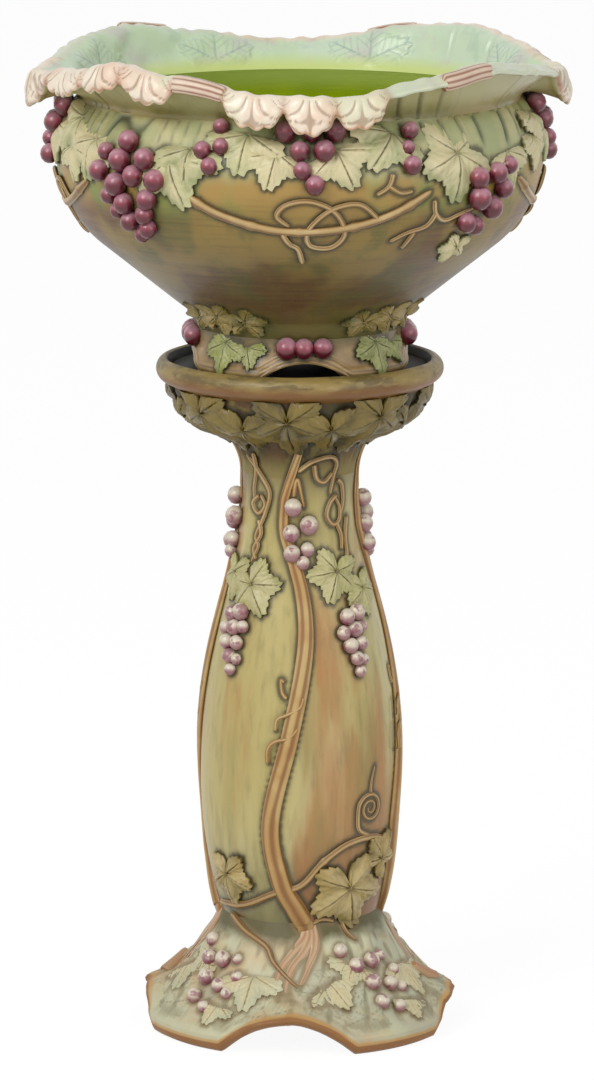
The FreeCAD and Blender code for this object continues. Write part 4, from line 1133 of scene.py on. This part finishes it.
def stem(place_on, route, widths, ridges=4, ridge=0.05, sink=0.25, depth=0.85, steps=8, columns=14,
         knots=0, lift=0.0, wander=0.0, dive=0.0):
    """A round stem along a route on a wall: rings of points square to the path, as wide as widths says
    and tapered between, ridged lengthwise, swollen at knots and closed to a point at both ends; its
    start can dive into the wall."""
    path = smooth_route(route, steps)
    spots, out = place_on(path[:, 0], path[:, 1])
    ahead = np.gradient(spots, axis=0)
    ahead /= np.linalg.norm(ahead, axis=1, keepdims=True)
    side = np.cross(ahead, out)
    side /= np.linalg.norm(side, axis=1, keepdims=True)
    up = np.cross(side, ahead)
    share = np.linspace(0, 1, len(path))
    width = widths[0] + (widths[1] - widths[0]) * share
    if knots:
        swell = np.abs((share * knots) % 1 - 0.5)
        width = width * (1 + 0.28 * np.exp(-(swell / 0.06) ** 2))
    width = width * np.sqrt(np.clip(1 - np.abs(2 * share - 1) ** 16, 0, 1))
    turn = np.linspace(0, 2 * math.pi, columns, endpoint=False)[None, :]
    twist = share[:, None] * wander
    rib = np.cos(ridges * (turn + twist))
    reach = (width / 2)[:, None] * (1 + ridge * rib)
    wave = lift * np.sin(share * math.pi * 3)[:, None] \
        - dive * width[:, None] * (1 - fall(share, 0, 0.09))[:, None]
    points = spots[:, None] + side[:, None] * (reach * np.cos(turn))[..., None] \
        + up[:, None] * (reach * depth * np.sin(turn) + (width / 2)[:, None] * sink + wave)[..., None]
    # Marks the side of the stem against the wall, for painted contact shade along its foot.
    root = np.clip(0.35 - np.sin(turn), 0, 1) + 0 * reach
    return Grid(points, False, ridge=0.5 + 0.5 * rib, root=root)


def on(skin):
    """The function that gives a wall's points and outward directions at azimuths and heights."""
    def place_on(azimuth, height):
        point, _, _, out = skin.frame(azimuth, height)
        return point, out
    return place_on


def on_crest(azimuth, inward):
    """The rim's crest at azimuths, so far inward of it, and the upward direction."""
    tip, crest, _, _ = rim_forms(azimuth)
    turn = np.radians(azimuth)
    radius = tip - 0.0065 - inward
    out = np.stack([np.sin(turn) * 0.8, -np.cos(turn) * 0.8, 0.6 + 0 * turn], -1)
    return np.stack([radius * np.sin(turn), -radius * np.cos(turn), crest - 0.0075], -1), out


SPRIGS = {}
SKINS = {STAND: stand_skin, BOWL: bowl_skin}


def sprig(name, body, slot, glaze, turns, node, lay):
    """Enters a sprig in the table: the grids that lay gives for the body's wall, copied to turns, become
    the piece of that name and stand in for a node."""
    SPRIGS[name] = (lambda: round_the_axis(lay(SKINS[body]), turns), body, slot, glaze, (node,))


def leaves(name, body, glaze, turns, node, form, *spots):
    """Vine leaves at spots: each has its azimuth, height, size, tip and how far it sinks away above its
    heart; the form is the dome and the curl."""
    sprig(name, body, "leaf_glaze", glaze, turns, node,
          lambda skin: [vine_leaf(skin, *spot, *form[len(spot) - 5:]) for spot in spots])


GRAPES = {STAND: ("pale_grape_glaze", pale_grape_glaze), BOWL: ("grape_glaze", plum_glaze)}


def grapes(name, body, turns, node, size, seed, *spots, sunk=0.3, share=1):
    """Grapes at spots, each an azimuth, a height and a share of the named size's share."""
    sprig(name, body, *GRAPES[body], turns, node,
          lambda skin: cluster(skin, spots, getattr(sizes(), size) * share, seed, sunk))


def stems(name, body, glaze, turns, node, widths, ways, *form, **more):
    """Stems along ways: the widths are those at both ends, or a named size and its share at the end."""

    def lay(skin):
        wide = widths
        if isinstance(widths[0], str):
            wide = getattr(sizes(), widths[0])
            wide = (wide, wide * widths[1])
        return [stem(on(skin), way, wide, *form, **more) for way in ways]

    sprig(name, body, "bark_glaze", glaze, turns, node, lay)


def build_sprigs(*names):
    for name in names:
        lay, body, slot, glaze, replaced = SPRIGS[name]
        piece(name, lay(), body, slot, glaze(), replaced, BOWL_TURN if body == BOWL else 0.0)


def pooled_glaze_and_shade(grid, body):
    """Marks how much glaze pools at each point of a wall: two bells of the distance to the nearest
    point of any sprig on the body."""
    spots = np.concatenate([copy.points[copy.marks.get("gone", np.zeros(copy.points.shape[:2])) < 0.4]
                            for lay, owner, *_ in SPRIGS.values() if owner == body for copy in lay()])
    tree = KDTree(len(spots))
    for index, spot in enumerate(spots):
        tree.insert(spot, index)
    tree.balance()
    gaps = np.array([tree.find(spot)[2] for spot in grid.points.reshape(-1, 3)])
    gaps = gaps.reshape(grid.points.shape[:2])
    grid.marks["pool"] = 0.75 * bump(gaps, 0, 0.0032) + 0.25 * bump(gaps, 0, 0.011)


def trunk(skin):
    """A trunk that climbs the column in a slow S with ridges twisting along it, and tendrils on it."""
    way = ((11.5, 0.104), (9, 0.116), (2, 0.134), (-7, 0.163), (-12, 0.223), (-1, 0.310), (7, 0.380),
           (9, 0.420), (6, 0.455), (-2, 0.488), (-9.5, 0.512), (-10, 0.537), (-8, 0.552), (3, 0.588),
           (8, 0.612))
    tendrils = ((((-1, 0.546), (0.5, 0.560), (3, 0.564), (6, 0.552), (9, 0.536)), 0.0045, 0.25),
                (((-9, 0.318), (-8, 0.330), (-2, 0.335), (5, 0.342), (7, 0.352)), 0.0035, 3.2),
                (((-13, 0.285), (-13, 0.300), (-9, 0.308), (-1, 0.312), (4, 0.322)), 0.0045, 3.0),
                (((-3, 0.350), (-6, 0.356), (-7, 0.368), (-5, 0.366)), 0.004, 0.25))
    return [stem(on(skin), way, (0.023, 0.0065), 5, 0.07, 0.1, 0.62, 12, 30, wander=2.2, dive=0.65),
            *(stem(on(skin), line, (wide, 0.003), sink=sink) for line, wide, sink in tendrils)]


TRUNKS = tuple("trunk_" + side for side in ("front", "right", "back", "left"))
for name, turn in zip(TRUNKS, QUARTERS):
    sprig(name, STAND, "bark_glaze", trunk_glaze, (turn,), "vine_" + name, trunk)

# tangles of tendrils that hang from the collar, one each side of a trunk
stems("tendril_tangles", STAND, stem_glaze, HALVES, "upper_tendrils", ("tendril", 0.7), (
    ((-53, 0.587), (-38.5, 0.569), (-26, 0.550), (-30.4, 0.529), (-33, 0.522), (-40, 0.505), (-36, 0.4955),
     (-43, 0.478)),
    ((-42, 0.590), (-43, 0.570), (-46, 0.552), (-44, 0.540)),
    ((-38.5, 0.546), (-47, 0.537), (-38.5, 0.528), (-31, 0.537), (-37, 0.547)),
    ((-38, 0.522), (-34, 0.508), (-41, 0.493), (-37, 0.482)),
    ((3, 0.572), (17, 0.583), (34, 0.587), (43, 0.579), (40, 0.565), (36, 0.548)),
    ((19, 0.580), (22, 0.565), (30, 0.561), (39, 0.570)),
    ((44, 0.547), (36, 0.540), (32, 0.527), (38, 0.518), (46, 0.522), (47, 0.535), (41, 0.546)),
    ((45, 0.562), (51, 0.556), (52, 0.540), (47, 0.526)), ((42, 0.520), (47, 0.506), (46, 0.492)),
    ((56, 0.525), (52, 0.505), (52, 0.488), (50, 0.470))))


def low_vine_stems(skin):
    """A branch round the column, low down, and roots that run out over the base."""
    way = ((-69, 0.128), (-36, 0.134), (-12, 0.150), (6, 0.160), (20, 0.185), (36, 0.201), (56, 0.203),
           (72, 0.188), (80, 0.160))
    roots = ((((56, 0.204), (63, 0.196), (68, 0.178)), 0.005, 0.003),
             (((-54, 0.120), (-36, 0.108), (-17, 0.096), (-10, 0.082), (4.7, 0.060)), 0.007, 0.004),
             (((12, 0.115), (20, 0.122), (30, 0.119)), 0.005, 0.004),
             (((36, 0.122), (38, 0.108), (44, 0.098)), 0.005, 0.003))
    return [stem(on(skin), way, (0.007, 0.0055), knots=5, steps=10),
            *(stem(on(skin), line, widths) for line, *widths in roots)]


sprig("low_vines", STAND, "bark_glaze", stem_glaze, HALVES, "low_branches", low_vine_stems)

# low roots that run from a trunk's foot down the base and out along its arch, and their curled ends
stems("base_roots", STAND, root_glaze, QUARTERS, "low_branches", (0.012, 0.004), (
    ((9, 0.126), (11.5, 0.108), (8, 0.094), (0, 0.076), (-1.5, 0.056), (4, 0.042), (12, 0.034)),
    ((7, 0.126), (8.5, 0.108), (2, 0.094), (-5, 0.078), (-7, 0.058), (-3, 0.044)),
    ((11, 0.124), (14.5, 0.108), (14, 0.094), (10, 0.080), (5, 0.062))),
    5, 0.08, -0.12, 0.34, 10, 16, wander=1.5)
stems("base_scrolls", STAND, root_glaze, HALVES, "low_branches", (0.010, 0.019),
      (((80, 0.062), (86, 0.050), (90, 0.041)),), 2, 0.0, 0.25, 1.0, 8, 20)


def coiled_stems(skin):
    """A tendril off the branch, wound in a spiral whose reach shrinks evenly as it turns."""
    share = np.linspace(0, 1, 22)
    bearing = np.radians(190 - 360 * 2.1 * share)
    reach = 0.016 * (1 - 0.86 * share)
    each = math.degrees(1 / BELLY[0])
    coil = list(zip(50 + reach * each * np.cos(bearing), 0.234 + reach * np.sin(bearing)))
    return [stem(on(skin), [(58, 0.199), (50, 0.206), (42, 0.214)] + coil, (0.0045, 0.002), steps=5),
            stem(on(skin), ((50, 0.250), (51, 0.262), (54, 0.276)), (0.0035, 0.0015))]


sprig("coiled_tendrils", STAND, "bark_glaze", stem_glaze, HALVES, "spiral_tendrils", coiled_stems)

# over the bunches on the column's sides; large ones on the low branch; hanging over each other from
# under the dish; spread flat over the base
leaves("column_leaves", STAND, column_leaf_glaze, HALVES, "upper_leaves", (0.004, 0.0),
       (36, 0.472, 0.033, -18, 0.0), (62, 0.452, 0.029, 8, 0.0, 0.003),
       (-36, 0.458, 0.035, 30, 0.0), (-60, 0.466, 0.029, 0, 0.0, 0.003))
leaves("low_leaves", STAND, low_leaf_glaze, HALVES, "lower_leaves", (0.005, 0.002),
       (37, 0.156, 0.048, 12, 0.0, 0.006), (61, 0.180, 0.030, 150, 0.0), (-45, 0.166, 0.033, 4, 0.0))
leaves("collar_vine_leaves", STAND, collar_leaf_glaze, QUARTERS, "collar_leaves", (0.006, 0.002),
       (20, 0.628, 0.040, 12, 0.0), (66, 0.626, 0.040, -10, 0.0), (-1, 0.636, 0.050, 2, 0.0),
       (44, 0.638, 0.050, -4, 0.0))
leaves("base_vine_leaves", STAND, base_leaf_glaze, QUARTERS, "base_leaves", (0.0005, 0.0),
       (19, 0.066, 0.036, 30, 1.0), (-20, 0.070, 0.040, 0, 1.0), (58, 0.042, 0.026, -10, 1.0),
       (-54, 0.080, 0.030, -30, 1.0))

# beside each trunk under the collar; under the leaves on the column's sides; on each quarter of the base
grapes("neck_grapes", STAND, QUARTERS, "neck_bunches", "stand_grape", 61,
       (-1, 0.537, 1.12), (13, 0.519, 1.18), (-2.5, 0.511, 1.08), (-1.5, 0.491, 1.08), (11.5, 0.495, 0.88),
       (7.5, 0.482, 0.86))
grapes("side_grapes", STAND, QUARTERS, "side_bunches", "stand_grape", 62,
       (40, 0.427, 1.0), (49, 0.430, 1.05), (36, 0.412, 0.9), (45, 0.414, 0.98), (52, 0.416, 0.8),
       (40, 0.399, 0.98), (49, 0.400, 0.9), (44, 0.386, 0.9), (50, 0.384, 0.7), (46, 0.373, 0.75))
grapes("base_grapes", STAND, QUARTERS, "base_bunches", "base_grape", 63,
       (30, 0.091, 0.95), (37, 0.076, 1.05), (48, 0.078, 1.08), (57, 0.081, 0.75), (61, 0.066, 0.8),
       (43, 0.060, 1.08), (53, 0.056, 0.95), (59, 0.051, 0.8), (43, 0.043, 1.0), (51, 0.037, 0.85),
       sunk=0.65, share=0.92)

# a knotty vine that hangs between two bunches, tendrils looped round its middle, passing over and under
# themselves, and forked tendrils at its end
stems("swags", BOWL, stem_glaze, QUARTERS, "swag_vines", ("swag", 0.9), (
    ((-31, 0.874), (-23, 0.855), (-12, 0.841), (-3, 0.837), (8, 0.840), (19, 0.852), (29, 0.873)),),
    3, 0.06, steps=12, knots=5, sink=0.1)
stems("knots", BOWL, stem_glaze, QUARTERS, "tendril_knots", ("tendril", 0.9), (
    ((-5, 0.842), (-8, 0.853), (-6, 0.864), (-1, 0.868), (4, 0.861), (7, 0.848), (8, 0.832), (5, 0.820),
     (0, 0.822), (-1, 0.836), (2, 0.852), (6, 0.862), (11, 0.864), (15, 0.852), (16, 0.845)),
    ((-7, 0.836), (-5, 0.824), (-3, 0.818), (-2, 0.804))), sink=0.5, lift=0.0012)
stems("forks", BOWL, stem_glaze, HALVES, "forked_tendrils", ("tendril", 0.65), (
    ((30, 0.864), (31, 0.850), (34, 0.842), (38, 0.846), (43, 0.852)),
    ((31, 0.850), (29, 0.838), (24, 0.832), (20, 0.824)), ((26, 0.833), (25, 0.824), (24, 0.816)),
    ((19, 0.892), (18, 0.880), (15, 0.872)), ((18, 0.880), (21, 0.873), (24, 0.874))))

# lengths of bark let into the rim between its leaves
sprig("rim_barks", BOWL, "bark_glaze", rim_stem_glaze, HALVES, "rim_stems", lambda skin: [
    stem(on_crest, way, (0.018, 0.016), 9, 0.025, 0.14, 1.0, 8, 36)
    for way in (((-31.5, 0), (-25, 0), (-19, 0)), ((30, 0), (37, 0), (44, 0)))])

# either side of the hanging bunches; crowding the shoulder behind the bunches; green ones spread over
# the bowl's foot; ragged ones that drape from the bowl's under side over its foot
leaves("broad_leaves", BOWL, pale_leaf_glaze, QUARTERS, "wide_leaves", (0.0035, 0.001),
       (-15, 0.930, 0.047, -10, 1.0), (-8, 0.914, 0.039, -14, 1.0), (5.5, 0.916, 0.043, 24, 1.0),
       (20, 0.930, 0.049, -34, 1.0))
leaves("crowded_leaves", BOWL, pale_leaf_glaze, HALVES, "shoulder_leaves", (0.0040, 0.001),
       (-34, 0.905, 0.052, 20, 0.9), (-29, 0.915, 0.044, -4, 1.0), (36.3, 0.907, 0.049, -4, 0.55),
       (54, 0.902, 0.040, 8, 0.9), (-59, 0.914, 0.044, -8, 1.0), (-68, 0.905, 0.038, 10, 1.0),
       (69, 0.910, 0.036, -6, 1.0), (41, 0.815, 0.022, -15, 0.0))
leaves("foot_vine_leaves", BOWL, foot_leaf_glaze, QUARTERS, "foot_leaves", (0.002, 0.001),
       (43, 0.705, 0.031, 0, 0.5), (58, 0.703, 0.023, 16, 0.9))
leaves("heel_vine_leaves", BOWL, heel_leaf_glaze, QUARTERS, "foot_leaves", (0.003, 0.003),
       (30, 0.731, 0.026, -24, 0.3), (45, 0.735, 0.030, 6, 0.3), (60, 0.732, 0.027, 30, 0.3))

# at the swags' ends; under the middle of each side; between the bunches
grapes("large_bunches", BOWL, HALVES, "shoulder_bunches", "bowl_grape", 71,
       (-45.5, 0.915, 1.06), (-52.6, 0.904, 0.86), (-47.1, 0.898, 1.14), (-40.1, 0.901, 1.08),
       (-54.2, 0.886, 1.04), (-48.4, 0.876, 1.14), (-43.1, 0.885, 1.06), (-37.1, 0.883, 1.06),
       (-51.8, 0.864, 0.88), (-46.9, 0.858, 1.02), (-39.8, 0.864, 1.02), (-50.3, 0.849, 0.76),
       (-46.5, 0.841, 0.96), (-41.4, 0.849, 0.94), (-41.6, 0.835, 0.90), (-44.4, 0.828, 0.78),
       (41.6, 0.882, 1.04), (47.8, 0.884, 1.04), (52.8, 0.889, 0.88), (50.9, 0.868, 0.98),
       (42.3, 0.863, 1.16), (47.4, 0.852, 1.10), (40.2, 0.840, 0.98), (44.1, 0.835, 0.88))
grapes("hung_bunches", BOWL, QUARTERS, "hanging_bunches", "bowl_grape", 73,
       (-6, 0.930, 1.04), (0, 0.930, 0.98), (5.6, 0.930, 1.06), (-2.8, 0.914, 0.96), (2.8, 0.914, 1.06),
       (-2.2, 0.897, 0.88), (0.6, 0.884, 0.96))
grapes("little_bunches", BOWL, HALVES, "small_bunches", "bowl_grape", 74,
       (-22, 0.934, 0.78), (-25.5, 0.913, 0.86), (-21.2, 0.917, 0.80), (-23.5, 0.899, 0.84),
       (24.2, 0.929, 0.86), (22.9, 0.915, 0.70), (23.3, 0.899, 0.92))


def foot_grapes(skin):
    """Three grapes on the foot between its leaves."""
    radius, height, chance = sizes().bowl_grape, 0.703, np.random.default_rng(76)
    out = skin.frame(0, height)[3]
    made = []
    for place in (-1, 0, 1):
        across = np.array(place * radius * 1.78 + chance.uniform(-0.001, 0.001))
        middle = skin.lay(0, height, across, np.array(0.0), np.array(radius * 0.42))
        made.append(grape(middle, out, radius * chance.uniform(0.96, 1.10), chance))
    return made


sprig("foot_row", BOWL, *GRAPES[BOWL], QUARTERS, "foot_grapes", foot_grapes)


# --- stage -----------------------------------------------------------------------------------------


def seen_white(name, share):
    """A matt white that looks white to the camera and in glaze, and still takes a soft shadow."""
    r = Recipe(name)
    for socket, value in (("Base Color", (0.9, 0.9, 0.9)), ("Roughness", 0.9), ("Specular IOR Level", 0.0)):
        r.feed(r.shader.inputs[socket], value)
    light = r.node("ShaderNodeLightPath", {}, {})
    seen = Tone(r, light.outputs["Is Camera Ray"]) + Tone(r, light.outputs["Is Glossy Ray"])
    glow = r.node("ShaderNodeEmission", {}, {"Color": (1.0, 1.0, 1.0), "Strength": 1.08})
    mixed = r.node("ShaderNodeMixShader", {}, {0: seen * share, 1: r.shader.outputs[0], 2: glow.outputs[0]})
    r.feed(r.tree.nodes["Material Output"].inputs["Surface"], mixed.outputs[0])
    return r.owner


def lamp(name, place, target, size, power):
    """A square lamp aimed at a point."""
    light = bpy.data.lights.new(name, "AREA")
    light.size = size
    light.energy = power
    made = added(name, light)
    made.location = place
    made.rotation_euler = (Vector(target) - Vector(place)).to_track_quat("-Z", "Y").to_euler()


KEY_PLACE, KEY_TARGET = (-2.2, -3.4, 3.2), (0, 0, 0.55)
FILL_PLACE, FILL_TARGET = (3.0, -2.4, 1.8), (0, 0, 0.5)
LAMP_SIZE = 2.4
CAMERA_DISTANCE = 6.4
CAMERA_HEIGHT = 1.7387
CAMERA_TURN = 4.7
CAMERA_PITCH = 10.954


def build_stage():
    """A white floor, a white sky, two soft lamps and the camera."""
    stage = bpy.context.scene.jardiniere_stage
    half = stage.floor / 2
    mesh = bpy.data.meshes.new("floor")
    corners = [(-half, -half, 0), (half, -half, 0), (half, half, 0), (-half, half, 0)]
    mesh.from_pydata(corners, [], [(0, 1, 2, 3)])
    mesh.materials.append(seen_white("floor_white", 0.86))
    added("floor", mesh)
    world = bpy.context.scene.world or bpy.data.worlds.new("sky")
    bpy.context.scene.world = world
    r = Recipe("sky", world)
    rays = r.node("ShaderNodeLightPath", {}, {}).outputs
    seen = Tone(r, None).sum("MAXIMUM", rays["Is Camera Ray"], rays["Is Glossy Ray"])
    strength = r.node("ShaderNodeMapRange", {}, {"Value": seen, "To Min": stage.sky, "To Max": 1.0})
    background = r.tree.nodes["Background"]
    r.feed(background.inputs["Color"], (1, 1, 1))
    r.feed(background.inputs["Strength"], strength.outputs[0])
    lamp("key", KEY_PLACE, KEY_TARGET, LAMP_SIZE, stage.key)
    lamp("fill", FILL_PLACE, FILL_TARGET, LAMP_SIZE, stage.fill)
    bpy.context.scene.view_settings.view_transform = "Standard"
    lens = bpy.data.cameras.new("camera")
    lens.lens = 217.5
    lens.sensor_width = 36.0
    lens.shift_x = -0.0023
    lens.shift_y = -0.0068
    lens.clip_end = 60
    camera = added("camera", lens)
    turn = math.radians(CAMERA_TURN)
    camera.location = (CAMERA_DISTANCE * math.sin(turn), -CAMERA_DISTANCE * math.cos(turn), CAMERA_HEIGHT)
    camera.rotation_euler = (math.radians(90 - CAMERA_PITCH), 0, turn)
    bpy.context.scene.camera = camera


# --- the add-on ------------------------------------------------------------------------------------


def builder(name, title, words, build):
    """An operator that runs a building step."""

    def execute(self, context):
        build()
        return {"FINISHED"}

    return type("JARDINIERE_OT_" + name, (bpy.types.Operator,), {
        "__doc__": words, "bl_idname": "jardiniere." + name, "bl_label": title, "execute": execute})


def laying(name, title, words, *names):
    """An operator that lays the sprigs of those names."""
    return builder(name, title, words, lambda: build_sprigs(*names))


OPERATORS = (
    builder("stage", "Stage", "Build the floor, the sky, the lamps and the camera", build_stage),
    builder("base", "Base", "Turn the base of the stand", build_base),
    builder("column", "Column", "Turn the column of the stand", build_column),
    builder("collar", "Collar", "Turn the flare under the dish", build_collar),
    builder("dish", "Dish", "Turn the dish", build_dish),
    builder("foot", "Foot", "Turn the bowl's foot", build_foot),
    builder("bowl", "Bowl", "Turn the bowl", build_bowl),
    builder("rim", "Rim", "Ruffle the rim", build_rim),
    laying("trunks", "Trunks", "Lay the trunks up the column", *TRUNKS),
    laying("tendrils", "Tendrils", "Lay the stand's tendrils and branches", "tendril_tangles", "low_vines",
           "base_roots", "base_scrolls", "coiled_tendrils"),
    laying("stand_leaves", "Stand leaves", "Press the leaves of the stand", "column_leaves", "low_leaves",
           "collar_vine_leaves", "base_vine_leaves"),
    laying("stand_grapes", "Stand grapes", "Press the grapes of the stand", "neck_grapes", "side_grapes",
           "base_grapes"),
    laying("vines", "Vines", "Lay the bowl's vines", "swags", "knots", "forks", "rim_barks"),
    laying("bowl_leaves", "Bowl leaves", "Press the leaves of the bowl", "broad_leaves", "crowded_leaves",
           "foot_vine_leaves", "heel_vine_leaves"),
    laying("bowl_grapes", "Bowl grapes", "Press the grapes of the bowl", "large_bunches", "hung_bunches",
           "little_bunches", "foot_row"),
)


class JARDINIERE_PT_panel(bpy.types.Panel):
    """Lists the colours, the sizes and the building steps."""

    bl_label = "Jardiniere"
    bl_space_type = "VIEW_3D"
    bl_region_type = "UI"
    bl_category = "Jardiniere"

    def draw(self, context):
        scene = context.scene
        for operator in OPERATORS:
            self.layout.operator(operator.bl_idname)
        for group in (scene.jardiniere_sizes, scene.jardiniere_colours, scene.jardiniere_stage):
            box = self.layout.box()
            for name in group.bl_rna.properties.keys():
                if name not in ("rna_type", "name"):
                    box.prop(group, name)


CLASSES = (GlazeColours, SprigSizes, StageSettings, *OPERATORS, JARDINIERE_PT_panel)


def register():
    for item in CLASSES:
        bpy.utils.register_class(item)
    bpy.types.Scene.jardiniere_colours = PointerProperty(type=GlazeColours)
    bpy.types.Scene.jardiniere_sizes = PointerProperty(type=SprigSizes)
    bpy.types.Scene.jardiniere_stage = PointerProperty(type=StageSettings)


def unregister():
    del bpy.types.Scene.jardiniere_colours
    del bpy.types.Scene.jardiniere_sizes
    del bpy.types.Scene.jardiniere_stage
    for item in reversed(CLASSES):
        bpy.utils.unregister_class(item)


def main():
    register()
    for operator in OPERATORS:
        getattr(bpy.ops.jardiniere, operator.bl_idname.split(".")[1])()
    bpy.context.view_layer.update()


if __name__ == "__main__":
    main()
